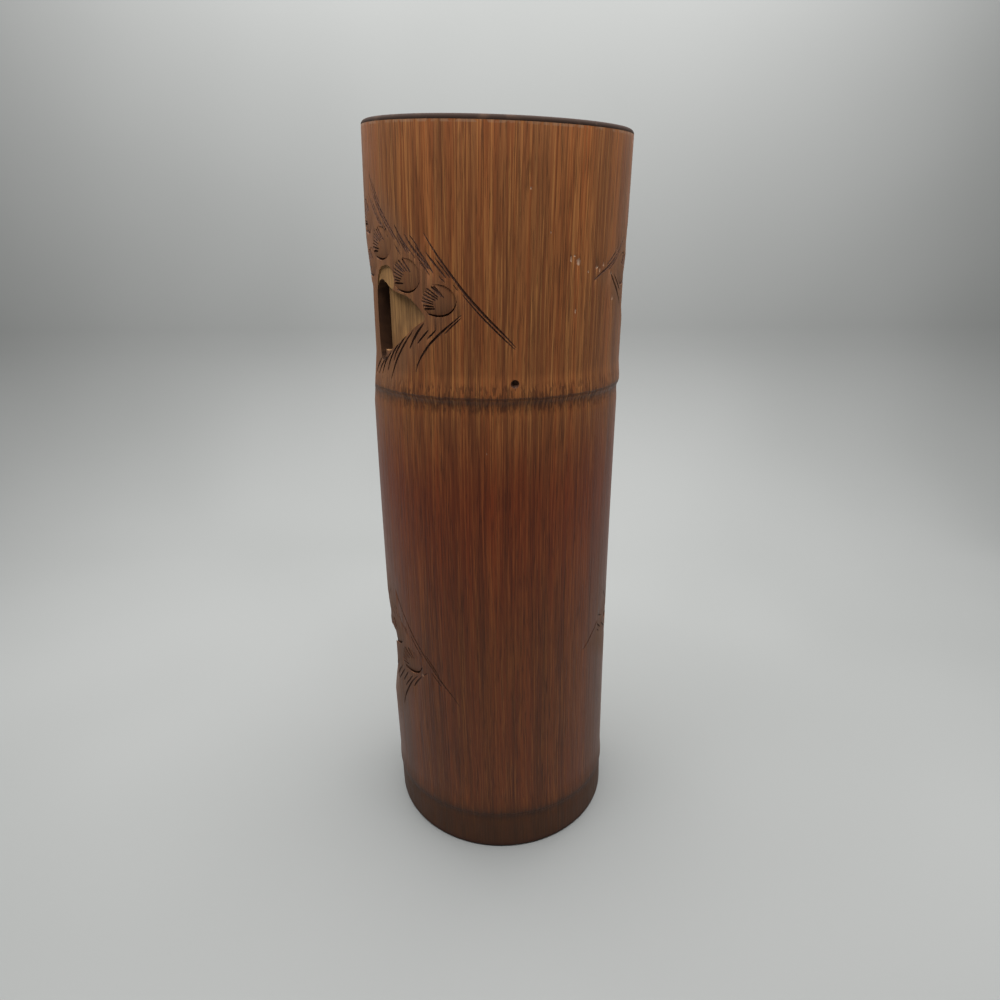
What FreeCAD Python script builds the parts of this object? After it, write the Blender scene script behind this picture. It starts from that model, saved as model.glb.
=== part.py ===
import FreeCAD, Part
import math
import os

# Bamboo vase: one length of bamboo with a carved and pierced wall, and a sheet-metal water liner.
# Millimetres. +Z is up, the foot stands on Z = 0 and the plain side faces -Y.
# An azimuth is an angle round the culm in degrees: 0 is the plain front, 90 is +X and -90 is -X.

# Culm
culm_height = 305.0
foot_radius = 51.5
rim_radius = 49.8
culm_belly = 0.25
culm_bow = 1.8
wall_thickness = 9.0
rim_fall = 1.9
rim_outer_round = 2.4
rim_inner_round = 1.6
foot_chamfer = 0.8

# Nodes of the culm
foot_node_height = 17.0
middle_node_height = 212.0
middle_ridge = 0.6
foot_ridge = 0.4
node_neck = 0.3
node_reach = 9.0
node_rise = 3.4
node_inner_swelling = 2.2
bud_azimuth = 7.9
bud_height_above_node = 8.8
bud_pit_radius = 1.5
bud_pit_depth = 1.3

# Septa
floor_thickness = 5.0
floor_edge_rise = 5.0
floor_top_height = 24.0
middle_septum_thickness = 4.0
middle_septum_edge_rise = 3.5
middle_septum_reach = 2.0
middle_hole_clearance = 2.2

# Liner
liner_wall = 1.0
liner_bead_radius = 1.2
liner_lip_below_rim = 12.0
liner_base_flange = 5.0
liner_seat_clearance = 0.3
liner_seat_margin = 3.0

# Carving
window_wall_overrun = 3.0
ground_depth = 2.4
ground_tip_depth = 0.4
tuft_radius = 5.8
tuft_dome_drop = 1.35
tuft_gouge_width = 0.8
tuft_gouge_depth = 2.3
tuft_lean = 0.7
tuft_sink = 0.2
cut_overrun = 2.0
tufts_apart = 3
seam_azimuth = 26.0

# Carved bands: each lies between two nodes, or between the upper node and the rim
bands = {"upper": (middle_node_height, culm_height), "lower": (foot_node_height, middle_node_height)}

# Pierced windows: azimuth, height as a share of the band, width and height as shares of a full window
window_width = 11.0
window_height = 24.0
window_outline_shares = [(1.0, -0.5), (1.04, 0.0), (0.85, 0.5), (0.05, 1.0), (-0.85, 0.55), (-1.04, 0.0),
                         (-1.0, -0.55), (-0.3, -1.0)]
window_shares = {
    "upper": [
        (-57.0, 0.294, 0.53, 1.19),
        (-72.9, 0.301, 1.13, 1.00),
        (-102.0, 0.334, 1.00, 1.00),
        (-129.0, 0.311, 1.00, 1.00),
        (-155.0, 0.305, 1.00, 0.95),
        (177.0, 0.328, 1.00, 1.00),
        (150.0, 0.311, 1.00, 1.00),
        (125.0, 0.321, 1.00, 1.00),
        (101.0, 0.301, 1.00, 1.00),
        (79.0, 0.377, 1.10, 0.55),
    ],
    "lower": [
        (-71.5, 0.385, 1.22, 0.78),
        (-98.0, 0.382, 1.05, 0.85),
        (-125.0, 0.374, 1.00, 0.85),
        (-151.0, 0.370, 0.95, 0.80),
        (-178.0, 0.382, 1.00, 0.85),
        (154.0, 0.376, 0.95, 0.80),
        (135.0, 0.387, 0.80, 0.70),
        (116.0, 0.385, 1.00, 0.85),
        (92.0, 0.382, 1.00, 0.80),
    ],
}

# Lowered grounds: azimuth of the deep edge and its height as a share of the band, then its length, the reach
# to the tip and the tip's fall as shares of a full window's height. A negative reach runs to the left.
ground_shares = {
    "upper": [
        (-54.4, 0.296, 0.92, 0.87, -0.14),
        (-95.5, 0.334, 0.60, 0.42, 0.05),
        (-135.6, 0.311, 0.60, -0.42, 0.05),
        (131.6, 0.321, 0.60, 0.42, 0.05),
        (94.5, 0.301, 0.60, -0.42, 0.05),
    ],
    "lower": [
        (-91.3, 0.382, 0.50, 0.38, 0.05),
        (-131.4, 0.374, 0.50, -0.38, 0.05),
        (122.4, 0.385, 0.50, 0.38, 0.05),
        (85.6, 0.382, 0.46, -0.30, 0.05),
    ],
}

# Needle tufts: azimuth, height as a share of the band, and size as a share of a full tuft
tuft_shares = {
    "upper": [
        (-69.5, 0.677, 1.00),
        (-56.0, 0.583, 1.03),
        (-67.5, 0.526, 0.85),
        (-39.5, 0.482, 1.02),
        (-23.3, 0.402, 0.98),
        (-83.5, 0.597, 1.00),
        (-97.0, 0.685, 1.00),
        (-98.0, 0.523, 1.00),
        (-111.5, 0.603, 1.00),
        (-125.5, 0.675, 1.00),
        (-126.0, 0.515, 1.00),
        (-140.0, 0.600, 1.00),
        (-153.5, 0.528, 0.95),
        (-167.0, 0.600, 1.00),
        (179.0, 0.659, 1.00),
        (178.5, 0.515, 1.00),
        (165.5, 0.587, 0.95),
        (69.0, 0.489, 0.95),
        (83.0, 0.580, 1.00),
        (96.5, 0.659, 1.00),
        (97.5, 0.488, 1.00),
        (111.0, 0.574, 1.00),
        (124.5, 0.656, 1.00),
        (125.0, 0.502, 1.00),
        (138.5, 0.583, 1.00),
        (152.0, 0.508, 0.95),
    ],
    "lower": [
        (-49.0, 0.387, 1.03),
        (-63.5, 0.433, 1.00),
        (-77.5, 0.470, 1.00),
        (-91.5, 0.506, 1.00),
        (-98.5, 0.457, 0.85),
        (-112.0, 0.484, 1.00),
        (-125.0, 0.451, 0.95),
        (-139.0, 0.476, 1.00),
        (-152.5, 0.449, 0.95),
        (-166.0, 0.482, 1.00),
        (-179.5, 0.460, 1.00),
        (166.5, 0.495, 1.00),
        (153.0, 0.460, 0.95),
        (79.0, 0.456, 1.00),
        (92.5, 0.495, 1.00),
        (105.5, 0.460, 0.95),
        (119.0, 0.495, 1.00),
        (132.5, 0.459, 0.95),
        (144.5, 0.507, 0.90),
    ],
}


def outer_radius(height):
    """Radius of the culm between its nodes."""
    share = height / culm_height
    return foot_radius + (rim_radius - foot_radius) * share + 4.0 * culm_belly * share * (1.0 - share)


def bowed(height):
    """Sideways offset of the culm's centreline before it is centred on its box."""
    share = height / culm_height
    return -4.0 * culm_bow * share * (1.0 - share)


def box_centring():
    """Sideways shift that puts the bowed culm's widest reaches the same distance from the axis."""
    steps = 40
    reaches = [(culm_height * step / steps, 0.0) for step in range(steps + 1)]
    reaches += [(foot_node_height, foot_ridge), (middle_node_height, middle_ridge)]
    right = max(bowed(height) + outer_radius(height) + ridge for height, ridge in reaches)
    left = max(outer_radius(height) - bowed(height) + ridge for height, ridge in reaches)
    return (left - right) / 2.0


centring = box_centring()


def axis_offset(height):
    """Sideways place of the culm's centre at a height."""
    return bowed(height) + centring


def bore_radius(height):
    """Radius of the hollow between the septa."""
    return outer_radius(height) - wall_thickness


# The liner's lip passes the middle septum's hole with a clearance, wherever the hollow is tightest
tightest_bore = min(bore_radius(height) for height in (foot_node_height, middle_node_height, culm_height))
middle_hole_radius = tightest_bore - node_inner_swelling - middle_septum_reach
liner_lip_radius = middle_hole_radius - middle_hole_clearance
liner_inner_radius = liner_lip_radius - 2.0 * liner_bead_radius
liner_radius = liner_inner_radius + liner_wall


def ring(height, radius, rise):
    """Circle whose front edge stands higher than its centre by rise. It starts where the wall is plain."""
    wire = Part.Wire(Part.makeCircle(radius))
    tilt = FreeCAD.Rotation(FreeCAD.Vector(1, 0, 0), -math.degrees(math.asin(rise / radius)))
    start = FreeCAD.Rotation(FreeCAD.Vector(0, 0, 1), seam_azimuth - 90.0)
    wire.Placement = FreeCAD.Placement(FreeCAD.Vector(axis_offset(height), 0, height), tilt.multiply(start))
    return wire


def straight_rings(low, high, count, radius_at, low_rise, high_rise):
    """Evenly spaced rings between two heights, which they leave out."""
    sections = []
    for step in range(1, count + 1):
        share = step / (count + 1.0)
        height = low + (high - low) * share
        sections.append((height, radius_at(height), low_rise + (high_rise - low_rise) * share))
    return sections


def node_rings(node_height, changes, radius_at):
    """Evenly spaced rings across a node, each with its change of radius."""
    sections = []
    last = len(changes) - 1
    for index, change in enumerate(changes):
        height = node_height - node_reach + 2.0 * node_reach * index / last
        sections.append((height, radius_at(height) + change, node_rise))
    return sections


def stacked(foot_changes, middle_changes, radius_at):
    """Solid of the culm's whole length, and past both ends, from rings joined by straight bands."""
    low_foot = foot_node_height - node_reach
    high_foot = foot_node_height + node_reach
    low_middle = middle_node_height - node_reach
    high_middle = middle_node_height + node_reach
    bottom = -cut_overrun
    top = culm_height + rim_fall + cut_overrun
    sections = [(bottom, radius_at(bottom), 0.0)]
    sections += node_rings(foot_node_height, foot_changes, radius_at)
    sections += straight_rings(high_foot, low_middle, 5, radius_at, node_rise, node_rise)
    sections += node_rings(middle_node_height, middle_changes, radius_at)
    sections += straight_rings(high_middle, top, 2, radius_at, node_rise, 0.0)
    sections.append((top, radius_at(top), 0.0))
    return Part.makeLoft([ring(*section) for section in sections], True, True)


def culm_outside():
    """Outside of the culm, with a neck below a ridge at each node."""
    necks = [0.0, -0.4 * node_neck, -node_neck, -0.8 * node_neck]
    foot_changes, middle_changes = [necks + [ridge, 0.7 * ridge, 0.4 * ridge, 0.1 * ridge, 0.0]
                                    for ridge in (foot_ridge, middle_ridge)]
    return stacked(foot_changes, middle_changes, outer_radius)


def culm_bore():
    """Hollow of the culm, narrower where the wall swells into each septum."""
    changes = [0.0, -0.2 * node_inner_swelling, -0.7 * node_inner_swelling, -node_inner_swelling,
               -0.7 * node_inner_swelling, -0.2 * node_inner_swelling, 0.0]
    return stacked(changes, changes, bore_radius)


def rim_trim():
    """Block above the rim's plane, which falls towards +X because the saw cut wasn't square."""
    side = 4.0 * foot_radius
    block = Part.makeBox(side, side, side, FreeCAD.Vector(-side / 2.0, -side / 2.0, 0))
    fall = math.degrees(math.asin(rim_fall / rim_radius))
    turn = FreeCAD.Rotation(FreeCAD.Vector(0, 1, 0), fall)
    block.Placement = FreeCAD.Placement(FreeCAD.Vector(0, 0, culm_height), turn)
    return block


def foot_trim():
    """Block below the standing plane."""
    side = 4.0 * foot_radius
    return Part.makeBox(side, side, side, FreeCAD.Vector(-side / 2.0, -side / 2.0, -side))


def edges_near(shape, height, radius, reach):
    """Edges whose middle lies close to a height and a distance from the axis."""
    found = []
    for edge in shape.Edges:
        middle = edge.valueAt((edge.FirstParameter + edge.LastParameter) / 2.0)
        distance = math.hypot(middle.x, middle.y)
        if abs(middle.z - height) < reach and abs(distance - radius) < reach and edge.Length > radius:
            found.append(edge)
    return found


def plain_culm(bore):
    """Hollow culm before it is carved, with a rounded rim and a broken edge at the foot."""
    shape = culm_outside().cut(bore).cut(rim_trim()).cut(foot_trim())
    reach = 2.0 * rim_fall + culm_bow
    shape = shape.makeFillet(rim_outer_round, edges_near(shape, culm_height, rim_radius, reach))
    bore_at_rim = rim_radius - wall_thickness
    shape = shape.makeFillet(rim_inner_round, edges_near(shape, culm_height, bore_at_rim, reach))
    return shape.makeChamfer(foot_chamfer, edges_near(shape, 0.0, foot_radius, foot_chamfer))


def on_wall(azimuth, height):
    """Placement whose Z points out through the wall, X along growing azimuth and Y up the culm."""
    angle = math.radians(azimuth)
    along = FreeCAD.Vector(math.cos(angle), math.sin(angle), 0)
    out = FreeCAD.Vector(math.sin(angle), -math.cos(angle), 0)
    turn = FreeCAD.Rotation(along, FreeCAD.Vector(0, 0, 1), out, "ZXY")
    return FreeCAD.Placement(FreeCAD.Vector(axis_offset(height), 0, height), turn)


def height_in(band, share):
    """Height that lies at a share of the way up a carved band."""
    low, high = bands[band]
    return low + (high - low) * share


def window_cutter(azimuth, height, width_share, tall_share):
    """Pierced opening with bowed sides, an arched head and a pointed sill that rises to one side."""
    half_width = width_share * window_width / 2.0
    half_height = tall_share * window_height / 2.0
    low = outer_radius(height) - wall_thickness - window_wall_overrun
    high = outer_radius(height) + middle_ridge + cut_overrun
    right_foot, right_side, right_head, crown, left_head, left_side, left_foot, tip = [
        FreeCAD.Vector(across * half_width, up * half_height, low) for across, up in window_outline_shares
    ]
    edges = [Part.Arc(right_foot, right_side, right_head).toShape(),
             Part.Arc(right_head, crown, left_head).toShape(),
             Part.Arc(left_head, left_side, left_foot).toShape(),
             Part.makeLine(left_foot, tip),
             Part.makeLine(tip, right_foot)]
    cutter = Part.Face(Part.Wire(edges)).extrude(FreeCAD.Vector(0, 0, high - low))
    cutter.Placement = on_wall(azimuth, height)
    return cutter


def ground_cutter(azimuth, height, edge_share, reach_share, fall_share):
    """Triangular ground that slopes from the surface at its tip down to a deep edge."""
    radius = outer_radius(height)
    half = edge_share * window_height / 2.0
    reach = reach_share * window_height
    fall = fall_share * window_height
    surface_at_tip = math.sqrt(radius * radius - reach * reach)
    deep = radius - ground_depth
    corners = [FreeCAD.Vector(0, half, deep), FreeCAD.Vector(0, -half, deep),
               FreeCAD.Vector(reach, -fall, surface_at_tip - ground_tip_depth)]
    floor = Part.Face(Part.makePolygon(corners + corners[:1]))
    cutter = floor.extrude(FreeCAD.Vector(0, 0, ground_depth + cut_overrun))
    cutter.Placement = on_wall(azimuth, height)
    return cutter


def tuft_cutter(azimuth, height, size_share):
    """Round gouge that leaves a domed tuft in its middle, deepest on the side the tuft leans away from."""
    radius = outer_radius(height)
    tuft = size_share * tuft_radius
    dome = (tuft * tuft + tuft_dome_drop * tuft_dome_drop) / (2.0 * tuft_dome_drop)
    side = -1.0 if azimuth < 0 else 1.0
    bottom = radius - tuft_gouge_depth
    disc = Part.makeCylinder(tuft + tuft_gouge_width, tuft_gouge_depth + cut_overrun,
                             FreeCAD.Vector(0, 0, bottom))
    ball = Part.makeSphere(dome, FreeCAD.Vector(side * tuft_lean, tuft_lean, radius - tuft_sink - dome))
    cutter = disc.cut(ball)
    cutter.Placement = on_wall(azimuth, height)
    return cutter


def bud_cutter():
    """Pit left by a bud just above the middle node."""
    height = middle_node_height + bud_height_above_node
    reach = outer_radius(height) + bud_pit_radius - bud_pit_depth
    cutter = Part.makeSphere(bud_pit_radius, FreeCAD.Vector(0, 0, reach))
    cutter.Placement = on_wall(bud_azimuth, height)
    return cutter


def cutters(make, table):
    """One cutter for each row of a table, with its place in the band turned into a height."""
    return [make(azimuth, height_in(band, share), *sizes)
            for band, rows in table.items() for azimuth, share, *sizes in rows]


def carved_culm(bore):
    """The culm with its windows, sloping grounds and domed tufts, of which neighbours are cut in turn."""
    carved = plain_culm(bore).cut(cutters(window_cutter, window_shares))
    carved = carved.cut(cutters(ground_cutter, ground_shares))
    tufts = cutters(tuft_cutter, tuft_shares)
    for start in range(tufts_apart):
        carved = carved.cut(tufts[start::tufts_apart])
    return carved.cut(bud_cutter())


def septum_blank(top, thickness, edge_rise, flat_radius, rim_reach):
    """Disc with a flat middle whose edge runs up into the wall."""
    outer = rim_reach
    flat_top = FreeCAD.Vector(flat_radius, 0, top)
    edge_top = FreeCAD.Vector(outer, 0, top + edge_rise)
    middle_top = FreeCAD.Vector((flat_radius + outer) / 2.0, 0, top + 0.3 * edge_rise)
    flat_bottom = FreeCAD.Vector(flat_radius, 0, top - thickness)
    edge_bottom = FreeCAD.Vector(outer, 0, top - thickness - edge_rise)
    middle_bottom = FreeCAD.Vector((flat_radius + outer) / 2.0, 0, top - thickness - 0.3 * edge_rise)
    edges = [Part.makeLine(FreeCAD.Vector(0, 0, top - thickness), FreeCAD.Vector(0, 0, top)),
             Part.makeLine(FreeCAD.Vector(0, 0, top), flat_top),
             Part.Arc(flat_top, middle_top, edge_top).toShape(),
             Part.makeLine(edge_top, edge_bottom),
             Part.Arc(edge_bottom, middle_bottom, flat_bottom).toShape(),
             Part.makeLine(flat_bottom, FreeCAD.Vector(0, 0, top - thickness))]
    return Part.Face(Part.Wire(edges)).revolve(FreeCAD.Vector(0, 0, 0), FreeCAD.Vector(0, 0, 1), 360)


def floor_septum(bore):
    """Natural diaphragm at the foot node, scraped flat where the liner stands."""
    flat_radius = liner_radius + liner_seat_margin
    blank = septum_blank(floor_top_height, floor_thickness, floor_edge_rise, flat_radius, foot_radius)
    return blank.common(bore)


def middle_septum(bore):
    """What is left of the diaphragm at the middle node after it was opened for the liner."""
    top = middle_node_height + middle_septum_thickness / 2.0
    blank = septum_blank(top, middle_septum_thickness, middle_septum_edge_rise, middle_hole_radius,
                         foot_radius)
    tall = 4.0 * middle_septum_thickness + 4.0 * middle_septum_edge_rise
    hole = Part.makeCylinder(middle_hole_radius, tall, FreeCAD.Vector(0, 0, top - tall / 2.0))
    return blank.cut(hole).common(bore)


def liner_tube():
    """Rolled and seamed sheet whose lip is turned outwards into a bead, as one revolved profile."""
    bottom = floor_top_height + liner_seat_clearance
    bead_height = culm_height - liner_lip_below_rim - liner_bead_radius
    bead_middle = liner_inner_radius + liner_bead_radius
    drop = math.sqrt(liner_bead_radius ** 2 - (bead_middle - liner_radius) ** 2)
    inner_foot = FreeCAD.Vector(liner_inner_radius, 0, bottom)
    inner_head = FreeCAD.Vector(liner_inner_radius, 0, bead_height)
    outermost = FreeCAD.Vector(liner_lip_radius, 0, bead_height)
    bead_end = FreeCAD.Vector(liner_radius, 0, bead_height - drop)
    outer_foot = FreeCAD.Vector(liner_radius, 0, bottom)
    edges = [Part.makeLine(inner_foot, inner_head), Part.Arc(inner_head, outermost, bead_end).toShape(),
             Part.makeLine(bead_end, outer_foot), Part.makeLine(outer_foot, inner_foot)]
    return Part.Face(Part.Wire(edges)).revolve(FreeCAD.Vector(0, 0, 0), FreeCAD.Vector(0, 0, 1), 360)


def liner_base():
    """Disc soldered inside the bottom of the tube, with its flange turned down to the tube's edge."""
    bottom = floor_top_height + liner_seat_clearance
    disc = Part.makeCylinder(liner_inner_radius, liner_base_flange, FreeCAD.Vector(0, 0, bottom))
    hollow_depth = liner_base_flange - liner_wall
    hollow = Part.makeCylinder(liner_inner_radius - liner_wall, hollow_depth + cut_overrun,
                               FreeCAD.Vector(0, 0, bottom - cut_overrun))
    return disc.cut(hollow)


def main():
    os.makedirs("parts", exist_ok=True)
    bore = culm_bore()
    nodes = {
        "culm": carved_culm(bore),
        "middle_septum": middle_septum(bore),
        "floor_septum": floor_septum(bore),
        "liner_tube": liner_tube(),
        "liner_base": liner_base(),
    }
    for name, shape in nodes.items():
        box = shape.BoundBox
        print(name, "solids", len(shape.Solids), "valid", shape.isValid(), "volume", round(shape.Volume),
              "box", [round(v, 2) for v in (box.XMin, box.XMax, box.YMin, box.YMax, box.ZMin, box.ZMax)])
        shape.exportStep(os.path.join("parts", name + ".step"))


main()
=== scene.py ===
import math
import random
from functools import reduce

import bpy
from bpy.props import FloatProperty, FloatVectorProperty, IntProperty, PointerProperty
from mathutils import Matrix, Vector


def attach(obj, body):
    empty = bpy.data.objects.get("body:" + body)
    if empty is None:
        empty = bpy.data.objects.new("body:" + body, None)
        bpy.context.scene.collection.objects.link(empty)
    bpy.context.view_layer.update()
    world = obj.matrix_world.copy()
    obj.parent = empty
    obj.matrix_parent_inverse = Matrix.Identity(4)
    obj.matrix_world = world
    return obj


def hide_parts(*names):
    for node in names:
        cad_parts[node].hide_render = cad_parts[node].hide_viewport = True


bl_info = {
    "name": "Carved bamboo vase",
    "version": (1, 0, 0),
    "blender": (4, 5, 0),
    "location": "3D View > Sidebar > Vase",
    "description": "Models the carved wall, septa and water liner of a bamboo vase and its studio",
    "category": "Object",
}

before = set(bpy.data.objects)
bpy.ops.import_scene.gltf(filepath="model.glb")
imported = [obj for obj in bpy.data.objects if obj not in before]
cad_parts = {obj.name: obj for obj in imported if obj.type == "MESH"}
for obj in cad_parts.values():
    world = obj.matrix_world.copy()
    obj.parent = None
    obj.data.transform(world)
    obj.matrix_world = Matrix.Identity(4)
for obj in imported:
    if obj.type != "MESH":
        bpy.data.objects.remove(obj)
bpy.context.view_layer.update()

# Lengths are metres and angles are degrees. An azimuth is an angle round the culm: 0 is the plain front (-Y),
# 90 is +X and -90 is -X. Heights in the carving tables are millimetres above the foot.
MM = 0.001
QUARTER_TURN = math.radians(90.0)
UP = Vector((0.0, 0.0, 1.0))

# Places of the finishes among the wall's materials
SKIN, GOUGE, GROUND, WINDOW, BORE, RIM, FOOT, CHIP = range(8)


def metres(name, description, default):
    """Property for a length in metres."""
    return FloatProperty(name=name, description=description, default=default, unit="LENGTH")


def radians(name, description, default):
    """Property for an angle in radians."""
    return FloatProperty(name=name, description=description, default=default, unit="ROTATION")


def tint(name, description, *default):
    """Property for an opaque colour."""
    return FloatVectorProperty(name=name, description=description, subtype="COLOR", size=4, min=0.0, max=1.0,
                               default=(*default, 1.0))


class CulmSizes(bpy.types.PropertyGroup):
    """Sizes of the length of bamboo."""
    height: metres("Height", "Height of the rim's middle", 0.30494)
    foot_radius: metres("Foot radius", "Outer radius at the foot", 0.05149)
    rim_radius: metres("Rim radius", "Outer radius at the rim", 0.0498)
    belly: metres("Belly", "Swelling half way up", 0.00024)
    bow: metres("Bow", "Sideways bow of the centreline", 0.0018)
    centring: metres("Centring", "Sideways shift that centres the bowed culm", 0.00065)
    wall: metres("Wall", "Thickness of the wall", 0.009)
    rim_fall: metres("Rim fall", "How much lower the rim is at +X than its middle", 0.0019)
    rim_outer_round: metres("Outer rounding", "Radius of the rim's outer edge", 0.0017)
    rim_inner_round: metres("Inner rounding", "Radius of the rim's inner edge", 0.0016)
    foot_break: metres("Foot edge", "Broken edge of the foot", 0.0008)
    foot_node: metres("Foot node", "Height of the lower node", 0.017)
    middle_node: metres("Middle node", "Height of the upper node", 0.212)
    foot_ridge: metres("Foot ridge", "How far the lower node stands out", 0.0004)
    middle_ridge: metres("Middle ridge", "How far the upper node stands out", 0.0006)
    neck: metres("Neck", "Hollow just below a node", 0.0003)
    node_reach: metres("Node reach", "Half height of a node's change of radius", 0.009)
    node_rise: metres("Node rise", "How much higher a node is at the front than its middle", 0.0034)
    inner_swelling: metres("Inner swelling", "Swelling of the hollow's wall at a septum", 0.0022)
    sides: IntProperty(name="Sides", description="Faces round the culm", default=256, min=32)


class CarvingSizes(bpy.types.PropertyGroup):
    """Sizes of the carving tools' marks."""
    needle_radius: metres("Needle", "Half width of a needle stroke", 0.00046)
    rib_radius: metres("Rib", "Half width of a tuft's rib", 0.00043)
    crescent_radius: metres("Crescent", "Half width of the cut round a tuft", 0.00078)
    tuft_drop: metres("Tuft drop", "Fall of a tuft's dome from crown to edge", 0.00042)
    tuft_sink: metres("Tuft sink", "Depth of a dome's crown below the skin", 0.00012)
    tuft_lean: radians("Tuft lean", "Tilt of a dome towards its cut edge", 0.085)
    ground_depth: metres("Ground depth", "Depth of a ground beside its window", 0.0024)
    overrun: metres("Overrun", "How far a cut runs past the surface", 0.002)


class FinishColours(bpy.types.PropertyGroup):
    """Colours of the vase and its studio."""
    red: tint("Red stain", "Reddish parts of the stained skin", 0.245, 0.066, 0.022)
    brown: tint("Brown stain", "Brown parts of the stained skin", 0.118, 0.037, 0.017)
    amber: tint("Amber fibres", "Pale fibres that took little stain", 0.360, 0.140, 0.048)
    dark: tint("Dark fibres", "Dark fibres and gouged cuts", 0.045, 0.015, 0.008)
    ground: tint("Ground", "Wood laid bare by the sloping grounds", 0.360, 0.192, 0.072)
    bare: tint("Bare bamboo", "Unstained wood inside the culm", 0.390, 0.240, 0.110)
    lacquer: tint("Lacquer", "Black lacquer on the liner", 0.012, 0.011, 0.010)
    floor: tint("Floor", "Pale floor and backdrop", 0.21, 0.215, 0.21)


class StudioSettings(bpy.types.PropertyGroup):
    """Camera and lights."""
    camera_distance: metres("Camera distance", "Distance in front of the axis", 0.2989)
    camera_height: metres("Camera height", "Height above the floor", 0.2837)
    camera_pitch: radians("Pitch", "Angle below the horizon", math.radians(23.29))
    camera_roll: radians("Roll", "Turn about the line of sight", math.radians(-0.33))
    lens: FloatProperty(name="Lens", description="Focal length in millimetres", default=26.0)
    sky: FloatProperty(name="Sky", description="Strength of the light from all round", default=0.11)
    overhead: FloatProperty(name="Overhead", description="Power of the overhead softbox in watts", default=16.0)


def culm():
    """Sizes of the culm as set in the panel."""
    return bpy.context.scene.vase_culm


def carving():
    """Sizes of the carving as set in the panel."""
    return bpy.context.scene.vase_carving


def colour(name):
    """One of the colours set in the panel."""
    return tuple(getattr(bpy.context.scene.vase_colours, name))


# Shape of the culm

def outer_radius(height):
    """Radius of the culm between its nodes."""
    size = culm()
    share = height / size.height
    taper = size.foot_radius + (size.rim_radius - size.foot_radius) * share
    return taper + 4.0 * size.belly * share * (1.0 - share)


def axis_offset(height):
    """Sideways place of the culm's centre at a height."""
    size = culm()
    share = height / size.height
    return size.centring - 4.0 * size.bow * share * (1.0 - share)


def eased(share):
    """Smooth step from 0 to 1."""
    share = min(max(share, 0.0), 1.0)
    return share * share * (3.0 - 2.0 * share)


def node_change(distance, ridge):
    """Change of radius at a distance above a node: a hollow neck below it and a ridge that dies out above."""
    size = culm()
    neck_place = -0.4 * size.node_reach
    neck_width = 0.29 * size.node_reach
    neck = size.neck * math.exp(-((distance - neck_place) / neck_width) ** 2)
    if distance < 0.0:
        return ridge * eased(1.0 + 4.0 * distance / size.node_reach) - neck
    return ridge * (1.0 - eased(distance / size.node_reach)) - neck


def wall_radius(azimuth, height):
    """Distance of the skin from the culm's centre, with the two slanting nodes."""
    size = culm()
    level = height - size.node_rise * math.cos(math.radians(azimuth))
    change = 0.0
    for node, ridge in ((size.foot_node, size.foot_ridge), (size.middle_node, size.middle_ridge)):
        if abs(level - node) < size.node_reach:
            change += node_change(level - node, ridge)
    return outer_radius(height) + change


# Flat shavings that thin the skin round the windows: azimuth of the middle, lowest and highest height, depth
# in the middle and the length in which it runs in at the bottom and out at the top, in millimetres
SHAVINGS = [(-83.0, 203.0, 271.0, 2.4, 24.0, 22.0), (-84.0, 58.0, 114.0, 3.0, 14.0, 26.0),
             (84.0, 236.0, 264.0, 0.9, 6.0, 10.0)]

# A shaving reaches no further round than where the cosine of the angle from its middle falls to this
FACET_LIMIT = 0.8


def facet_share(row, height):
    """Share of its full depth that a shaving has at a height."""
    azimuth, low, high, depth, low_run, high_run = row
    level = height / MM
    return max(0.0, min(1.0, (level - low) / low_run, (high - level) / high_run))


def shaved_depth(azimuth, height):
    """How far the flat shavings lie below the round skin."""
    radius = outer_radius(height)
    deepest = 0.0
    for row in SHAVINGS:
        across = math.cos(math.radians(azimuth - row[0]))
        share = facet_share(row, height)
        if share > 0.0 and across > FACET_LIMIT:
            deepest = max(deepest, radius - (radius - row[3] * MM * share) / across)
    return deepest


def outwards(azimuth):
    """Direction that points straight out of the wall."""
    turn = math.radians(azimuth)
    return Vector((math.sin(turn), -math.cos(turn), 0.0))


def skin_point(azimuth, height, depth=0.0):
    """Point at a depth below the skin."""
    reach = wall_radius(azimuth, height) - shaved_depth(azimuth, height) - depth
    turn = math.radians(azimuth)
    return Vector((axis_offset(height) + reach * math.sin(turn), -reach * math.cos(turn), height))


def axes_matrix(x_axis, y_axis, z_axis, place=(0.0, 0.0, 0.0)):
    """Matrix with these axes at a place."""
    matrix = Matrix((x_axis, y_axis, z_axis)).transposed().to_4x4()
    matrix.translation = place
    return matrix


def on_wall(azimuth, height):
    """Matrix at the skin whose Z points out of the wall, X along growing azimuth and Y up the culm."""
    return axes_matrix(outwards(azimuth + 90.0), UP, outwards(azimuth), skin_point(azimuth, height))


# Work with Blender's tools

def set_mode(mode):
    """Switches the active object to a mode."""
    bpy.ops.object.mode_set(mode=mode)


def deselect_all():
    """Leaves nothing selected and object mode on."""
    if bpy.context.object and bpy.context.object.mode != "OBJECT":
        set_mode("OBJECT")
    bpy.ops.object.select_all(action="DESELECT")


def make_active(*pieces):
    """Selects objects alone and makes the first one active."""
    deselect_all()
    for piece in pieces:
        piece.select_set(True)
    bpy.context.view_layer.objects.active = pieces[0]


def joined(pieces, name):
    """One object made of several."""
    make_active(*pieces)
    if len(pieces) > 1:
        bpy.ops.object.join()
    result = bpy.context.object
    result.name = name
    return result


def close_up(piece):
    """Merges a mesh's doubles and turns its faces outwards."""
    make_active(piece)
    set_mode("EDIT")
    bpy.ops.mesh.select_all(action="SELECT")
    bpy.ops.mesh.remove_doubles(threshold=1e-7)
    bpy.ops.mesh.normals_make_consistent(inside=False)
    set_mode("OBJECT")


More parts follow.
